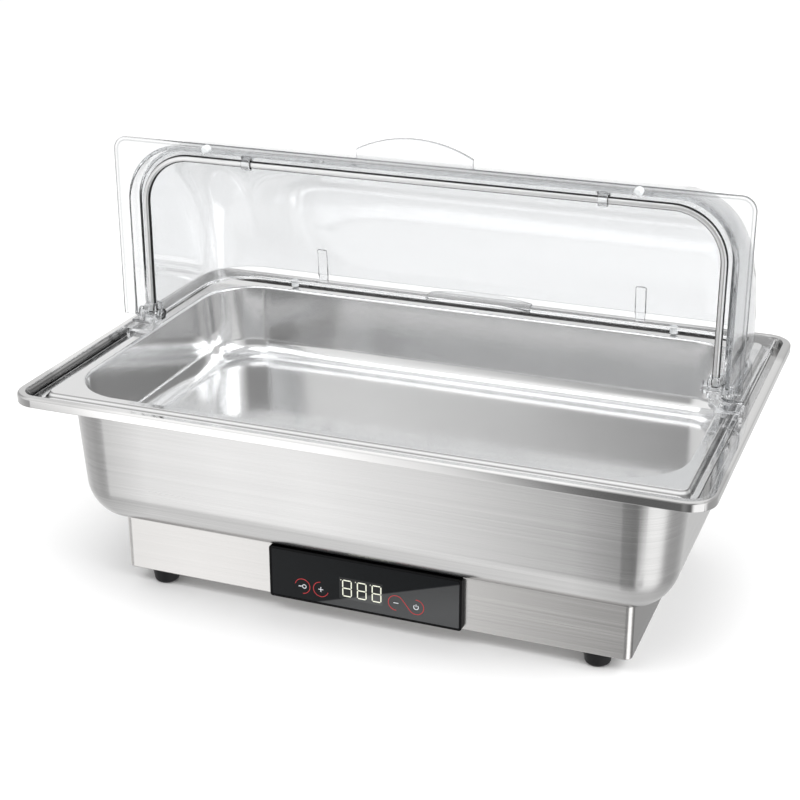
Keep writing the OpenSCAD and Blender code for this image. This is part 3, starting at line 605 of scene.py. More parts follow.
@dataclass(frozen=True)
class EdgedPlastic(ClearPlastic):
    """Clear plastic of an upright lid, with painted shade in two grey lines along its flange's edge, standing
    in for the edge's refraction.

    Attributes:
        half_w: Half of the flange's length, in metres.
        top_z: Height of the flange's far edge, in metres.
        corner_r: Radius of the flange's corners, in metres.
        line_w: Width of the line along the edge, in metres.
        inset: Distance of the inner line from the edge, in metres.
        line_blur: Width of a line's fading side, in metres.
        line_level: Share of the light that the line along the edge lets through.
        inner_share: Strength of the inner line beside the outer one.
    """

    half_w: float = 268 * MM
    top_z: float = 355.5 * MM
    corner_r: float = 12 * MM
    line_w: float = 0.7 * MM
    inset: float = 3.1 * MM
    line_blur: float = 0.35 * MM
    line_level: float = 0.34
    inner_share: float = 0.5

    def tone(self, surface: Surface) -> Any:
        """The colour of the light that passes, with painted shade in two grey lines along the flange's edge.

        Args:
            surface: The surface to colour.

        Returns:
            The socket of the colour.
        """
        x, _, z = surface.parts(surface.place())
        side = abs(x) - (self.half_w - self.corner_r)
        rise = z - (self.top_z - self.corner_r)
        out_x, out_z = surface.math("MAXIMUM", side, 0.0), surface.math("MAXIMUM", rise, 0.0)
        beyond = (out_x * out_x + out_z * out_z) ** 0.5
        within = surface.math("MINIMUM", surface.math("MAXIMUM", side, rise), 0.0)
        inward = self.corner_r - beyond - within
        off_inner = abs(inward - self.inset)
        outer = 1.0 - ((inward - self.line_w) / self.line_blur).clamped()
        inner = 1.0 - ((off_inner - self.line_w / 2) / self.line_blur).clamped()
        on_flange = surface.math("GREATER_THAN", inward, -0.1 * MM)
        # Painted shade: two grey lines along the flange's edge, standing in for its refraction.
        painted_edge_lines = surface.math("MAXIMUM", outer, inner * self.inner_share) * on_flange
        return surface.blend(painted_edge_lines, super().tone(surface), grey(self.line_level, -0.01))


@dataclass(frozen=True)
class Moulding(Finish):
    """Opaque moulded plastic or rubber with a fine grain.

    Attributes:
        colour: Mean colour.
        roughness: Mean roughness.
        grain: Size of a grain, in metres.
        grain_rough: How much the grain changes the roughness.
        depth: Depth of the grain, in metres.
        clouds: Clouds in the colour per metre.
        contrast: Share of the brightness by which the clouds change it.
        coat: Weight of a clear gloss on top.
        gloss: How strongly it mirrors.
    """

    colour: Colour = (0.02, 0.02, 0.021, 1.0)
    roughness: float = 0.5
    grain: float = 0.5 * MM
    grain_rough: float = 0.16
    depth: float = 0.02 * MM
    clouds: float = 30.0
    contrast: float = 0.18
    coat: float = 0.0
    gloss: float = 0.5

    def paint(self, surface: Surface) -> bpy.types.Material:
        """A grain in relief and roughness, and a faint cloud in the colour.

        Args:
            surface: The surface to fill in.

        Returns:
            Its material.
        """
        grain = surface.noise(surface.place(), 1 / self.grain, 2.0)
        clouds = surface.noise(surface.place(), self.clouds, 2.0)
        low, high = scaled(self.colour, 1 - self.contrast), scaled(self.colour, 1 + self.contrast)
        surface.set(
            Base_Color=surface.blend(clouds, low, high),
            Roughness=self.roughness + (grain - 0.5) * self.grain_rough,
            Coat_Weight=self.coat,
            Specular_IOR_Level=self.gloss,
            Normal=surface.bump(grain, 0.4, self.depth),
        )
        return surface.material


@dataclass(frozen=True)
class TouchGlass(Finish):
    """Black glass with a painted reflection, a grey field below a slanting line, and a few finger smears in
    its gloss.

    Attributes:
        level: Brightness of the black behind the glass.
        reflection_level: Brightness of the grey field, a painted reflection.
        reflection_edge_at: A point of the line, right and up, in metres.
        reflection_edge_slope: Rise of the line over its run.
        line_blur: Width of the change from black to grey, in metres.
        window_at: Middle of the display's window, right and up, in metres.
        window_half: Half of the window's width and height, in metres.
        window_level: Brightness that the window adds.
        roughness: Least roughness.
        gloss: How strongly it mirrors.
    """

    level: float = 0.006
    reflection_level: float = 0.085
    reflection_edge_at: tuple[float, float] = (-42 * MM, 16.7 * MM)
    reflection_edge_slope: float = 0.323
    line_blur: float = 1.2 * MM
    window_at: tuple[float, float] = (-2.6 * MM, 33.6 * MM)
    window_half: tuple[float, float] = (18.6 * MM, 9.6 * MM)
    window_level: float = 0.022
    roughness: float = 0.03
    gloss: float = 0.13

    def paint(self, surface: Surface) -> bpy.types.Material:
        """Smears in the gloss, and a painted reflection: a grey field that fades towards the line.

        Args:
            surface: The surface to fill in.

        Returns:
            Its material.
        """
        smears = surface.noise(surface.place((30.0, 30.0, 60.0)), 3.0, 4.0)
        x, _, z = surface.parts(surface.place())
        # Painted reflection: the glass is grey below a slanting line, brighter further below it.
        under = (x - self.reflection_edge_at[0]) * self.reflection_edge_slope + self.reflection_edge_at[1] - z
        lit = (under / self.line_blur).clamped() * (0.8 + (under / (60 * MM)).clamped() * 0.5)
        black = surface.blend(smears, grey(self.level * 0.8, -0.12), grey(self.level * 1.2, -0.2))
        tone = surface.blend(lit, black, grey(self.reflection_level, -0.02))
        off_x = abs(x - self.window_at[0]) / self.window_half[0]
        off_z = abs(z - self.window_at[1]) / self.window_half[1]
        outside = surface.math("GREATER_THAN", surface.math("MAXIMUM", off_x, off_z), 1.0)
        surface.set(
            Base_Color=surface.blend((1.0 - outside) * self.window_level, tone, grey(1.0)),
            Roughness=self.roughness + (smears ** 3.0) * 0.12,
            Specular_IOR_Level=self.gloss,
        )
        return surface.material


@dataclass(frozen=True)
class SignInk(Finish):
    """Print or light on the touch glass.

    Attributes:
        colour: Colour of the sign.
        glow: Strength of its own light.
        thin: Share of the brightness that is left where the print is thin.
    """

    colour: Colour = (0.9, 0.9, 0.9, 1.0)
    glow: float = 0.0
    thin: float = 0.88

    def paint(self, surface: Surface) -> bpy.types.Material:
        """A slightly uneven print that may glow.

        Args:
            surface: The surface to fill in.

        Returns:
            Its material.
        """
        uneven = surface.noise(surface.place(), 900.0, 2.0)
        tone = surface.blend(uneven, scaled(self.colour, self.thin), self.colour)
        surface.set(Base_Color=tone, Roughness=0.45 + (uneven - 0.5) * 0.1, Emission_Strength=self.glow)
        surface.feed(surface.shader.inputs["Emission Color"], tone)
        return surface.material


@dataclass(frozen=True)
class CircuitBoard(Finish):
    """Solder mask over copper tracks.

    Attributes:
        mask: Colour of the bare mask.
        track: Colour of the mask over copper.
    """

    mask: Colour = (0.012, 0.09, 0.035, 1.0)
    track: Colour = (0.03, 0.2, 0.08, 1.0)

    def paint(self, surface: Surface) -> bpy.types.Material:
        """Square-cornered track patches in colour and relief.

        Args:
            surface: The surface to fill in.

        Returns:
            Its material.
        """
        given = {"Vector": surface.place(), "Scale": 190.0}
        cells = surface.node("ShaderNodeTexVoronoi", {"feature": "F1", "distance": "CHEBYCHEV"}, given)
        patch = Value(surface, cells.outputs["Distance"])
        copper = surface.math("LESS_THAN", patch, 0.42)
        surface.set(
            Base_Color=surface.blend(copper, self.mask, self.track),
            Roughness=0.32 + patch * 0.12,
            Normal=surface.bump(copper, 0.4, 0.03 * MM),
        )
        return surface.material


TROUGH = (273.6 * MM, 172.6 * MM)
FLANGE = (265 * MM, 162.5 * MM)
IN_TROUGH = (Reach.OUT, 0.05 * MM, -0.05 * MM)
UNDER_BRIM = (Reach.UP, 183.6 * MM, 177 * MM)
# Painted shade in the water pan's trough: its outer wall darkened strongly and its bed lightly, below the
# brim.
TROUGH_WALL_SHADE = PaintedShade(0.8, ((Reach.OUT, -2.45 * MM, -2.35 * MM), IN_TROUGH, UNDER_BRIM), TROUGH)
TROUGH_BED_SHADE = PaintedShade(0.24, (IN_TROUGH, UNDER_BRIM, (Reach.UP, 174.4 * MM, 174.6 * MM)), TROUGH)
# Painted shade: the tub darkened along its lowest part, where it meets the base.
TUB_FOOT_SHADE = PaintedShade(0.8, ((Reach.UP, 74 * MM, 68 * MM),))
# Painted shade: the tub's front and back walls and upright corners darkened towards the ends, for the darker
# reflection there.
TUB_CORNER_SHADE = PaintedShade(0.27, ((Reach.ALONG, 176 * MM, 222 * MM), (Reach.ACROSS, 112 * MM, 124 * MM)))
# Painted shade: the base housing's left and right end walls darkened, for the darker reflection on its sides.
BASE_END_SHADE = PaintedShade(0.64, ((Reach.ALONG, 215.5 * MM, 216.7 * MM),))
# Painted shade: a dark band at the foot of the food pan's flange step.
FLANGE_FOOT_SHADE = PaintedShade(0.7, (
    (Reach.OUT, -10.2 * MM, -10 * MM),
    (Reach.OUT, -4.8 * MM, -5.4 * MM),
    (Reach.UP, 178.8 * MM, 177.8 * MM),
), FLANGE)
# Painted shade: a thin dark line along the top edge of the food pan's flange step.
FLANGE_EDGE_SHADE = PaintedShade(0.5, (
    (Reach.OUT, -10.8 * MM, -10.6 * MM),
    (Reach.UP, 179.7 * MM, 180.1 * MM),
    (Reach.UP, 180.95 * MM, 180.7 * MM),
), FLANGE)
# Painted reflection: the rod darkened all along, bright only where its surface faces to the front or back,
# for the dark surroundings that chrome mirrors at its edges.
ROD_SIDE_SHADE = PaintedShade(0.97, ((Reach.ACROSS, 2.55 * MM, 2 * MM),))


class Metal(Enum):
    """The metal finishes of the dish."""

    TUB = BrushedSteel("brushed_tub", "brushed_steel", (TROUGH_WALL_SHADE, TROUGH_BED_SHADE, TUB_FOOT_SHADE, TUB_CORNER_SHADE),
                       polish_z=168 * MM)
    # The housing's top band is polished and painted much brighter than its brushed sides, a painted highlight
    # along its top edge.
    HOUSING = BrushedSteel("brushed_housing", "brushed_steel", (BASE_END_SHADE,), level=0.75, warmth=0.018,
                           polish_z=60 * MM, polish_and_highlight_level=0.95)
    PAN = PolishedSteel("polished_pan", "polished_steel", (FLANGE_FOOT_SHADE, FLANGE_EDGE_SHADE))
    ROD = PolishedSteel("bright_rod", "chrome", (ROD_SIDE_SHADE,), level=0.97, roughness=0.34, wave=0.0)
    PLATED = PolishedSteel("plated_steel", "plated_steel", level=0.55, warmth=0.02, roughness=0.3)
    ALUMINIUM = PolishedSteel("mill_aluminium", "aluminium", level=0.62, roughness=0.34)


class Stuff(Enum):
    """The finishes that aren't metal."""

    CLEAR = ClearPlastic("clear_plastic", "clear_plastic")
    EDGED = EdgedPlastic("edged_plastic", "clear_plastic")
    BUMPER = Moulding("soft_bumper", "clear_plastic", colour=(0.72, 0.74, 0.75, 1.0), roughness=0.3, coat=0.4)
    RUBBER = Moulding("black_rubber", "rubber", colour=(0.008, 0.008, 0.009, 1.0), roughness=0.55,
                      grain=0.9 * MM, gloss=0.25)
    BEZEL = Moulding("black_bezel", "black_plastic", colour=(0.003, 0.003, 0.0035, 1.0), roughness=0.32,
                     gloss=0.12)
    GLASS = TouchGlass("touch_glass", "panel_glass")
    BOARD = CircuitBoard("circuit_board", "circuit_board")
    FIBRE = Moulding("fibre_mat", "insulation", colour=(0.7, 0.66, 0.58, 1.0), roughness=0.9, grain=3 * MM,
                     depth=0.4 * MM)
    COMPONENT = Moulding("moulded_part", "component", colour=(0.08, 0.085, 0.1, 1.0))
    DIGIT = SignInk("lit_digit", "panel_glass", colour=(0.85, 0.86, 0.72, 1.0), glow=0.32)
    SIGN = SignInk("white_sign", "panel_glass", colour=(0.75, 0.77, 0.8, 1.0), glow=0.15)
    RING = SignInk("red_ring", "panel_glass", colour=(0.5, 0.025, 0.03, 1.0), glow=0.2)


class Bench:
    """Modelling by hand: primitives, edit mode and joins, with nothing else selected."""

    @staticmethod
    def take(obj: bpy.types.Object) -> None:
        """Selects one object and makes it active.

        Args:
            obj: The object to work on.
        """
        bpy.ops.object.select_all(action="DESELECT")
        obj.select_set(True)
        bpy.context.view_layer.objects.active = obj

    @staticmethod
    def settle(obj: bpy.types.Object, name: str) -> bpy.types.Object:
        """Names an object and moves its place, turn and size into its mesh.

        Args:
            obj: The object.
            name: Its name.

        Returns:
            The same object.
        """
        Bench.take(obj)
        bpy.ops.object.transform_apply(location=True, rotation=True, scale=True)
        obj.name = name
        obj.data.name = name
        return obj

    @staticmethod
    def block(name: str, size: Vector, centre: Vector) -> bpy.types.Object:
        """A block at its size and place.

        Args:
            name: Its name.
            size: Its three sides.
            centre: Its centre.

        Returns:
            The block.
        """
        bpy.ops.object.select_all(action="DESELECT")
        bpy.ops.mesh.primitive_cube_add(size=1.0, location=centre)
        obj = bpy.context.object
        obj.scale = size
        return Bench.settle(obj, name)

    @staticmethod
    def rounded(name: str, node: bpy.types.Object, radius: float, steps: int) -> bpy.types.Object:
        """A copy of a frame node with its sharp edges rounded.

        Args:
            name: Name of the copy.
            node: The frame node.
            radius: Width of the rounding in metres.
            steps: Faces across the rounding.

        Returns:
            The copy.
        """
        made = bpy.data.objects.new(name, node.data.copy())
        made.data.name = name
        bpy.context.scene.collection.objects.link(made)
        Bench.take(made)
        bpy.ops.object.mode_set(mode="EDIT")
        bpy.ops.mesh.select_all(action="SELECT")
        bpy.ops.mesh.remove_doubles(threshold=0.002 * MM)
        bpy.ops.mesh.dissolve_limited(angle_limit=math.radians(0.4))
        bpy.ops.object.mode_set(mode="OBJECT")
        bpy.ops.object.modifier_add(type="BEVEL")
        bevel = made.modifiers[-1]
        bevel.width = radius
        bevel.segments = steps
        bevel.limit_method = "ANGLE"
        bevel.angle_limit = math.radians(35)
        bevel.use_clamp_overlap = False
        bevel.miter_outer = "MITER_ARC"
        bpy.ops.object.modifier_apply(modifier=bevel.name)
        bpy.ops.object.shade_smooth()
        bpy.ops.object.modifier_add(type="WEIGHTED_NORMAL")
        bpy.ops.object.modifier_apply(modifier=made.modifiers[-1].name)
        return made

    @staticmethod
    def join(name: str, pieces: list[bpy.types.Object]) -> bpy.types.Object:
        """Joins objects into one.

        Args:
            name: Name of the joined piece.
            pieces: The objects to join.

        Returns:
            The joined piece.
        """
        bpy.ops.object.select_all(action="DESELECT")
        for piece in pieces:
            piece.select_set(True)
        bpy.context.view_layer.objects.active = pieces[0]
        bpy.ops.object.join()
        return Bench.settle(pieces[0], name)


@dataclass
class SubAssembly:
    """A group of frame nodes, with the pieces that are modelled for it.

    Attributes:
        body: The body that new pieces ride on.
        edge_steps: Faces across a rounded edge.
        rounded: The nodes whose edges are rounded.
        edge: Width of the rounding, in metres.
    """

    body: str = "base"
    edge_steps: int = 3
    rounded: tuple[str, ...] = ()
    edge: float = 0.6 * MM

    def finishes(self) -> dict[str, Enum]:
        """The finish of each frame node."""
        raise NotImplementedError

    def build(self) -> None:
        """Models the pieces that the frame lacks."""

    def dress(self) -> None:
        """Gives each frame node its finish, and a copy with rounded edges to those that need one."""
        for name, choice in self.finishes().items():
            node = frame["nodes"][name]
            node.material_slots[0].material = choice.value.material()
            LOG.info("dressed %s in %s", name, choice.name.lower())
            if name in self.rounded:
                piece = Bench.rounded("rounded_" + name, node, self.edge_of(name), self.edge_steps)
                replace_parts(self.add(piece, choice, node["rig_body"]), name)

    def edge_of(self, name: str) -> float:
        """Width of a node's rounding in metres."""
        return self.edge

    def add(self, piece: bpy.types.Object, choice: Enum, body: str = "") -> bpy.types.Object:
        """Gives a new piece its finish and body.

        Args:
            piece: The piece.
            choice: Its finish.
            body: The body that it rides on, or the group's own if empty.

        Returns:
            The same piece.
        """
        piece.data.materials.clear()
        piece.data.materials.append(choice.value.material())
        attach(piece, body or self.body)
        LOG.info("modelled %s in %s", piece.name, choice.name.lower())
        return piece


@dataclass
class HeatedBase(SubAssembly):
    """The base housing with its feet, bottom plate, heater and power parts."""

    feet: tuple[str, ...] = ("foot_front_left", "foot_front_right", "foot_rear_left", "foot_rear_right")
    plated: tuple[str, ...] = (
        "bottom_plate", "bottom_screws", "foot_screws", "foot_nuts", "heater_studs", "heating_element",
        "element_clamp", "clamp_nuts", "temperature_probe", "board_screws", "control_screws",
    )
    black: tuple[str, ...] = ("thermal_cutoff", "cord_gland", "gland_nut")
    components: tuple[str, ...] = ("relay", "transformer", "terminal_block")
    rounded: tuple[str, ...] = ("base_housing",)
    edge: float = 0.7 * MM

    def finishes(self) -> dict[str, Enum]:
        """The finish of each frame node."""
        chosen: dict[str, Enum] = {
            "base_housing": Metal.HOUSING, "heat_plate": Metal.ALUMINIUM,
            "insulation_pad": Stuff.FIBRE, "power_board": Stuff.BOARD,
        }
        chosen.update({name: Stuff.RUBBER for name in self.feet})
        chosen.update({name: Metal.PLATED for name in self.plated})
        chosen.update({name: Stuff.BEZEL for name in self.black})
        chosen.update({name: Stuff.COMPONENT for name in self.components})
        return chosen


@dataclass
class WaterPan(SubAssembly):
    """The water pan with its rim and tub."""

    rounded: tuple[str, ...] = ("water_pan",)

    def finishes(self) -> dict[str, Enum]:
        """The finish of each frame node."""
        return {"water_pan": Metal.TUB}


@dataclass
class FoodPan(SubAssembly):
    """The food pan that hangs in the water pan."""

    body: str = "food_pan"
    rounded: tuple[str, ...] = ("food_pan",)
    edge: float = 0.5 * MM

    def finishes(self) -> dict[str, Enum]:
        """The finish of each frame node."""
        return {"food_pan": Metal.PAN}


@dataclass
class Cover(SubAssembly):
    """The clear cover with its rod, brackets, pins and lids."""

    body: str = "cover_frame"
    clear: tuple[str, ...] = (
        "bracket_left", "bracket_right", "hinge_pin_left", "hinge_pin_right", "pin_cap_left", "pin_cap_right",
        "rear_lid", "front_lid",
    )
    bumpers: tuple[str, ...] = ("rear_lid_bumpers", "front_lid_bumpers")
    lids: tuple[str, ...] = ("front_lid", "rear_lid")
    rounded: tuple[str, ...] = ("front_lid", "rear_lid", "bracket_left", "bracket_right")
    lid_edge: float = 1.15 * MM

    def edge_of(self, name: str) -> float:
        """Width of a node's rounding in metres."""
        return self.lid_edge if name in self.lids else self.edge

    def finishes(self) -> dict[str, Enum]:
        """The finish of each frame node."""
        chosen: dict[str, Enum] = {"cover_rod": Metal.ROD}
        chosen.update({name: Stuff.CLEAR for name in self.clear})
        chosen["front_lid"] = Stuff.EDGED
        chosen.update({name: Stuff.BUMPER for name in self.bumpers})
        return chosen

    def dress(self) -> None:
        """Gives each node its finish, and lets the lamps' light through the clear ones."""
        super().dress()
        for obj in bpy.data.objects:
            if obj.name.removeprefix("rounded_") in self.clear + self.bumpers:
                obj.visible_shadow = False
                obj.visible_diffuse = False


@dataclass
class ControlPanel(SubAssembly):
    """The touch panel: bezel, glass, boards and the signs on the glass.

    Places are millimetres right of and above the middle of the glass, and angles are degrees from the right
    towards the top. Pitch and shares are times the stroke, and the power bar's two are times its radius.
    """

    ink: float = 0.1
    digit_x: tuple[float, ...] = (-14.4, -1.7, 11.0)
    digit_z: float = -3.7
    digit_w: float = 8.3
    digit_h: float = 15.0
    stroke: float = 0.92
    slit: float = 0.36
    dot: float = 0.8
    rounded: tuple[str, ...] = ("panel_bezel",)
    edge: float = 0.5 * MM
    key_at: tuple[float, float] = (-53.4, -9.1)
    key_bow_r: float = 1.6
    key_shaft: float = 3.4
    key_tooth: float = 1.3
    plus_at: tuple[float, float] = (-37.3, -9.0)
    minus_at: tuple[float, float] = (27.5, -8.4)
    power_at: tuple[float, float] = (44.5, -8.9)
    power_r: float = 2.0
    ring_r: float = 6.5
    ring_w: float = 0.55
    ring_foot: float = 272.0
    ring_top: float = 93.0
    key_sweep: float = 255.0
    plus_sweep: float = 250.0
    power_from: float = 130.0
    power_sweep: float = 280.0
    power_bar: tuple[float, float] = (0.7, 1.1)
    sign_w: float = 0.6
    sign_l: float = 4.4
    key_pitch: float = 2.0
    tip_share: float = 0.42
    step_angle: float = 6.0
    least_steps: int = 8
    middle: Vector = field(default_factory=Vector)

    def finishes(self) -> dict[str, Enum]:
        """The finish of each frame node."""
        return {
            "panel_bezel": Stuff.BEZEL, "panel_glass": Stuff.GLASS, "display_module": Stuff.COMPONENT,
            "control_board": Stuff.BOARD, "touch_pads": Stuff.BEZEL,
        }

    def build(self) -> None:
        """Models the digits, the key signs and their rings."""
        low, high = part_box("panel_glass")
        self.middle = Vector(((low.x + high.x) / 2, low.y - self.ink * MM / 2, (low.z + high.z) / 2))
        self.add(Bench.join("panel_digits", self.digits()), Stuff.DIGIT)
        self.add(Bench.join("panel_signs", self.signs()), Stuff.SIGN)
        self.add(Bench.join("panel_rings", self.rings()), Stuff.RING)

    def at(self, x: float, z: float) -> Vector:
        """A point on the glass.

        Args:
            x: Millimetres right of the middle.
            z: Millimetres above the middle.

        Returns:
            The point in metres.
        """
        return self.middle + Vector((x * MM, 0.0, z * MM))

    def bar(self, x: float, z: float, w: float, h: float) -> bpy.types.Object:
        """A flat bar on the glass with rounded ends.

        Args:
            x: Millimetres right of the middle.
            z: Millimetres above the middle.
            w: Width in millimetres.
            h: Height in millimetres.

        Returns:
            The bar.
        """
        made = Bench.block("bar", Vector((w, self.ink, h)) * MM, self.at(x, z))
        self.round_ends(made, min(w, h) * self.tip_share, 3)
        return made

    @staticmethod
    def round_ends(obj: bpy.types.Object, offset: float, segments: int) -> None:
        """Bevels the four edges of a bar that run through the ink.

        Args:
            obj: The bar.
            offset: Width of the bevel in millimetres.
            segments: Steps of the bevel.
        """
        Bench.take(obj)
        bpy.ops.object.mode_set(mode="EDIT")
        bpy.ops.mesh.select_mode(type="EDGE")
        bpy.ops.mesh.select_all(action="DESELECT")
        bpy.ops.object.mode_set(mode="OBJECT")
        for edge in obj.data.edges:
            first, second = (obj.data.vertices[i].co for i in edge.vertices)
            across = second - first
            edge.select = abs(across.y) > 0.9 * across.length
        bpy.ops.object.mode_set(mode="EDIT")
        bpy.ops.mesh.bevel(offset=offset * MM, segments=segments, affect="EDGES")
        bpy.ops.object.mode_set(mode="OBJECT")

    def arc(
        self, at: tuple[float, float], r: float, w: float, start: float, sweep: float
    ) -> bpy.types.Object:
        """A flat arc on the glass, spun from its cross section.

        Args:
            at: Its centre, in millimetres from the middle.
            r: Radius in millimetres.
            w: Stroke in millimetres.
            start: Angle of its start in degrees, counted from the right towards the top.
            sweep: Angle that it covers in degrees.

        Returns:
            The arc.
        """
        made = self.section(at, r, w, start)
        self.turn(at, sweep)
        return self.closed(made)

    def section(self, at: tuple[float, float], r: float, w: float, start: float) -> bpy.types.Object:
        """The cross section of a stroke at the start of an arc, left open for editing.

        Args:
            at: The arc's centre, in millimetres from the middle.
            r: Radius in millimetres.
            w: Stroke in millimetres.
            start: Angle of the start in degrees.

        Returns:
            The section, in edit mode.
        """
        turn = math.radians(start)
        where = self.at(*at) + Vector((math.cos(turn), 0.0, math.sin(turn))) * r * MM
        bpy.ops.object.select_all(action="DESELECT")
        bpy.ops.mesh.primitive_plane_add(size=1.0, location=where, rotation=(0.0, -turn, 0.0))
        made = bpy.context.object
        made.scale = (w * MM, self.ink * MM, 1.0)
        Bench.settle(made, "stroke")
        bpy.ops.object.mode_set(mode="EDIT")
        bpy.ops.mesh.select_all(action="SELECT")
        return made

    def turn(self, at: tuple[float, float], sweep: float) -> None:
        """Spins the selected section of a stroke.

        Args:
            at: The centre, in millimetres from the middle.
            sweep: Degrees to spin it by, towards the top from the right, or the other way if negative.
        """
        way = math.copysign(1.0, sweep)
        steps = max(self.least_steps, round(abs(sweep) / self.step_angle))
        bpy.ops.mesh.spin(
            steps=steps, angle=math.radians(abs(sweep)), center=self.at(*at), axis=(0.0, way, 0.0)
        )

    @staticmethod
    def closed(made: bpy.types.Object) -> bpy.types.Object:
        """Merges a stroke's doubles, clears the sections within it and turns its faces outwards.

        Args:
            made: The stroke, in edit mode.

        Returns:
            The same stroke, in object mode.
        """
        bpy.ops.mesh.select_all(action="SELECT")
        bpy.ops.mesh.remove_doubles(threshold=0.002 * MM)
        bpy.ops.mesh.select_all(action="DESELECT")
        bpy.ops.mesh.select_mode(type="FACE")
        bpy.ops.mesh.select_interior_faces()
        bpy.ops.mesh.delete(type="FACE")
        bpy.ops.mesh.select_all(action="SELECT")
        bpy.ops.mesh.normals_make_consistent(inside=False)
        bpy.ops.object.mode_set(mode="OBJECT")
        return made

    def twin_ring(self) -> bpy.types.Object:
        """One stroke round the minus and the power sign, crossing between them on a straight line."""
        first, second = Vector(self.minus_at), Vector(self.power_at)
        across = second - first
        lean = math.degrees(math.asin(2 * self.ring_r / across.length))
        level = math.degrees(math.atan2(across.y, across.x))
        leave = level + 90.0 - lean
        run = math.sqrt(across.length ** 2 - (2 * self.ring_r) ** 2) * MM
        slope = math.radians(leave - 90.0)
        made = self.section(self.minus_at, self.ring_r, self.ring_w, self.ring_foot)
        self.turn(self.minus_at, leave - self.ring_foot)
        bpy.ops.mesh.extrude_region()
        bpy.ops.transform.translate(value=(run * math.cos(slope), 0.0, run * math.sin(slope)))
        self.turn(self.power_at, self.ring_top + 360.0 - (leave + 180.0))
        return self.closed(made)

    def digits(self) -> list[bpy.types.Object]:
        """Three lit figures of seven segments each, with a point at the upper left."""
        made = []
        half_w, half_h = (self.digit_w - self.stroke) / 2, (self.digit_h - self.stroke) / 2
        flat = self.digit_w - self.stroke - 2 * self.slit
        tall = half_h - 2 * self.slit
        for x in self.digit_x:
            for z in (-half_h, 0.0, half_h):
                made.append(self.segment(x, self.digit_z + z, flat, self.stroke))
            for side in (-half_w, half_w):
                for z in (-half_h / 2, half_h / 2):
                    made.append(self.segment(x + side, self.digit_z + z, self.stroke, tall))
            made.append(self.bar(x - half_w - 2 * self.dot, self.digit_z + half_h, self.dot, self.dot))
        return made

    def segment(self, x: float, z: float, w: float, h: float) -> bpy.types.Object:
        """One segment with pointed ends.

        Args:
            x: Millimetres right of the middle.
            z: Millimetres above the middle.
            w: Width in millimetres.
            h: Height in millimetres.

        Returns:
            The segment.
        """
        made = Bench.block("segment", Vector((w, self.ink, h)) * MM, self.at(x, z))
        self.round_ends(made, self.stroke * self.tip_share, 1)
        return made

    def signs(self) -> list[bpy.types.Object]:
        """The key, plus, minus and power signs."""
        key_x, key_z = self.key_at
        power_x, power_z = self.power_at
        rise, length = self.power_bar
        tip_x = key_x - self.key_shaft
        tooth_x = [tip_x + self.sign_w * (0.5 + n * self.key_pitch) for n in range(2)]
        tooth_z = key_z - (self.key_tooth - self.sign_w) / 2
        return [
            self.arc((key_x + self.key_bow_r, key_z), self.key_bow_r, self.sign_w, 0.0, 360.0),
            self.bar(key_x - self.key_shaft / 2, key_z, self.key_shaft, self.sign_w),
            *(self.bar(x, tooth_z, self.sign_w, self.key_tooth) for x in tooth_x),
            self.bar(*self.plus_at, self.sign_l, self.sign_w),
            self.bar(*self.plus_at, self.sign_w, self.sign_l),
            self.bar(*self.minus_at, self.sign_l, self.sign_w),
            self.arc(self.power_at, self.power_r, self.sign_w, self.power_from, self.power_sweep),
            self.bar(power_x, power_z + self.power_r * rise, self.sign_w, self.power_r * length),
        ]

    def rings(self) -> list[bpy.types.Object]:
        """The open red rings round the signs."""
        return [
            self.arc(self.key_at, self.ring_r, self.ring_w, self.ring_foot - 360.0, self.key_sweep),
            self.arc(self.plus_at, self.ring_r, self.ring_w, self.ring_top, self.plus_sweep),
            self.twin_ring(),
        ]


@dataclass(frozen=True)
class Lamp:
    """A large soft lamp turned to the dish, which the steel doesn't mirror.

    Attributes:
        name: Its name.
        at: Its place.
        size: Its side, in metres.
        power: Its power, in watts.
        aim: The point that it is turned to.
    """

    name: str
    at: tuple[float, float, float]
    size: float
    power: float
    aim: tuple[float, float, float] = (0.0, 0.0, 0.15)

    def build(self) -> None:
        """Adds the lamp."""
        data = bpy.data.lights.new(self.name, "AREA")
        data.size = self.size
        data.energy = self.power
        made = bpy.data.objects.new(self.name, data)
        made.location = self.at
        made.rotation_euler = (Vector(self.aim) - Vector(self.at)).to_track_quat("-Z", "Y").to_euler()
        made.visible_glossy = False
        bpy.context.scene.collection.objects.link(made)


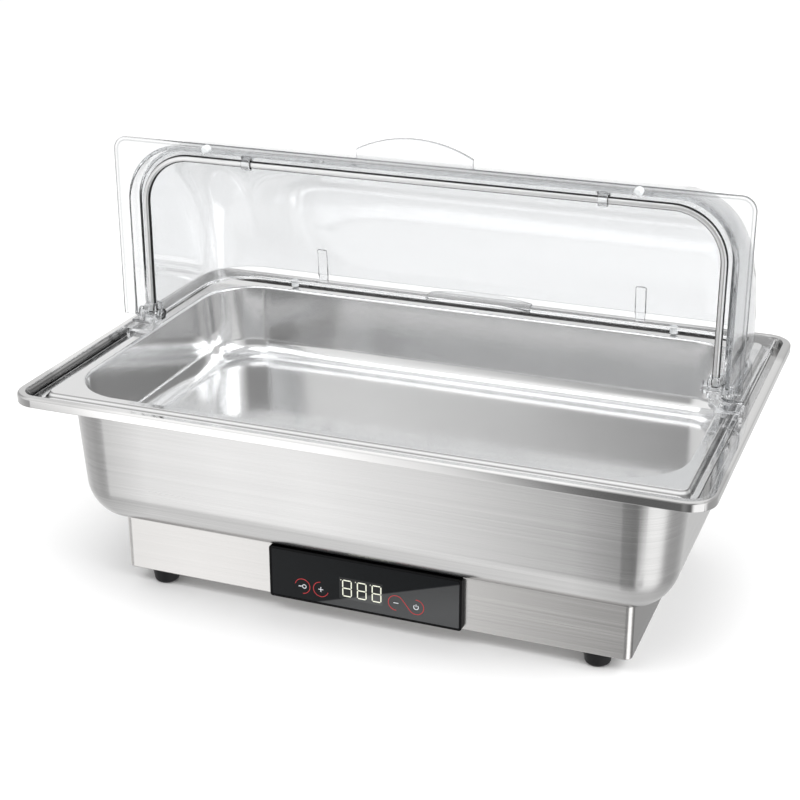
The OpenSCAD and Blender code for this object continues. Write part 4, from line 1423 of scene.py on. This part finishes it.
@dataclass
class Studio:
    """Floor, light and camera.

    Bearings are degrees from the front towards the right, as seen from above. Heights of the sky run from
    -1 straight down to 1 straight up, and each is where a change begins and how much further it is done.
    """

    camera_at: Vector = field(default_factory=lambda: Vector((0.44893, -1.2124, 0.6852)))
    camera_tilt: float = 67.59
    camera_turn: float = 20.97
    lens: float = 75.6
    sensor: float = 36.0
    floor_size: float = 60.0
    floor_level: float = 0.95
    brightness: float = 1.3
    bounces: int = 64
    ground: float = 0.6
    zenith: float = 0.92
    through: float = 0.85
    ground_at: tuple[float, float] = (-0.6, -0.3)
    horizon_at: tuple[float, float] = (-0.04, 0.2)
    zenith_at: tuple[float, float] = (0.6, 0.2)
    lamps: tuple[Lamp, ...] = (
        Lamp("key_light", (-0.6, -1.4, 2.8), 2.2, 34.0),
        Lamp("rear_light", (0.9, 1.9, 2.2), 1.8, 4.0),
        Lamp("fill_light", (1.9, -0.4, 1.6), 1.6, 34.0),
    )
    low_sky: tuple[tuple[float, float], ...] = (
        (-180, 0.62), (-164, 0.9), (-145, 0.95), (-122, 0.75), (-100, 0.6), (-78, 0.52), (-54, 0.42),
        (-38, 0.38), (-31, 1.26), (-26, 1.14), (-20, 0.75), (-14, 0.12), (3, 0.25), (26, 0.13), (42, 1.2),
        (76, 1.2), (98, 0.4), (140, 0.42), (163, 0.46), (180, 0.62),
    )
    high_sky: tuple[tuple[float, float], ...] = (
        (-180, 0.62), (-168, 0.64), (-148, 0.74), (-120, 0.4), (-60, 0.85), (-25, 0.8), (-8, 0.3), (35, 0.3),
        (60, 0.8), (120, 0.45), (165, 0.6), (180, 0.62),
    )

    def build(self) -> None:
        """Sets up the whole studio."""
        self.floor()
        self.sky()
        for lamp in self.lamps:
            lamp.build()
        self.camera()
        scene = bpy.context.scene
        scene.view_settings.view_transform = "Standard"
        scene.cycles.max_bounces = self.bounces
        scene.cycles.glossy_bounces = self.bounces
        scene.cycles.transmission_bounces = self.bounces

    def floor(self) -> None:
        """A pale floor that the lamps light and the steel doesn't mirror."""
        bpy.ops.object.select_all(action="DESELECT")
        bpy.ops.mesh.primitive_plane_add(size=self.floor_size)
        made = bpy.context.object
        made.name = "studio_floor"
        surface = Surface("look_floor")
        clouds = surface.noise(surface.place(), 0.6, 2.0)
        low, high = grey(self.floor_level * 0.985), grey(self.floor_level)
        surface.set(Base_Color=surface.blend(clouds, low, high), Roughness=0.9)
        made.data.materials.append(surface.material)
        made.visible_glossy = False

    @staticmethod
    def _stops(sky: tuple[tuple[float, float], ...]) -> list[tuple[float, float]]:
        """Bearings as places on a ramp.

        Args:
            sky: Bearing and brightness of each stop.

        Returns:
            Place and brightness of each stop.
        """
        return [((bearing + 180) / 360, level) for bearing, level in sky]

    def sky(self) -> None:
        """Soft light all round, with greys for the steel to mirror and an even light behind clear plastic."""
        world = bpy.data.worlds.new("studio_sky")
        world.use_nodes = True
        bpy.context.scene.world = world
        graph = NodeGraph(world.node_tree)
        background = next(n for n in world.node_tree.nodes if n.type == "BACKGROUND")
        way = graph.node("ShaderNodeTexCoord", {}, {}).outputs["Generated"]
        x, y, z = graph.parts(way)
        bearing = graph.math("ARCTAN2", x, -y) / (2 * math.pi) + 0.5
        low = graph.node("ShaderNodeValToRGB", {"stops": self._stops(self.low_sky)}, {"Fac": bearing})
        high = graph.node("ShaderNodeValToRGB", {"stops": self._stops(self.high_sky)}, {"Fac": bearing})
        changes = (self.ground_at, self.horizon_at, self.zenith_at)
        drop, rise, top = (((z - begin) / over).clamped() for begin, over in changes)
        walls = graph.blend(drop, low.outputs["Color"], grey(self.ground))
        steel = graph.blend(top, graph.blend(rise, walls, high.outputs["Color"]), grey(self.zenith))
        ray = graph.node("ShaderNodeLightPath", {}, {})
        seen = graph.blend(ray.outputs["Is Transmission Ray"], steel, grey(self.through))
        graph.feed(background.inputs["Color"], seen)
        background.inputs["Strength"].default_value = self.brightness

    def camera(self) -> None:
        """The camera at the photograph's angle."""
        data = bpy.data.cameras.new("camera")
        data.lens = self.lens
        data.sensor_width = self.sensor
        made = bpy.data.objects.new("camera", data)
        made.location = self.camera_at
        made.rotation_euler = (math.radians(self.camera_tilt), 0.0, math.radians(self.camera_turn))
        bpy.context.scene.collection.objects.link(made)
        bpy.context.scene.camera = made


def main() -> None:
    """Builds and dresses each sub-assembly, then the studio."""
    logging.basicConfig(level=logging.INFO, format="%(name)s: %(message)s")
    for part in (HeatedBase(), WaterPan(), ControlPanel(), FoodPan(), Cover()):
        part.build()
        part.dress()
    Studio().build()


if __name__ == "__main__":
    main()
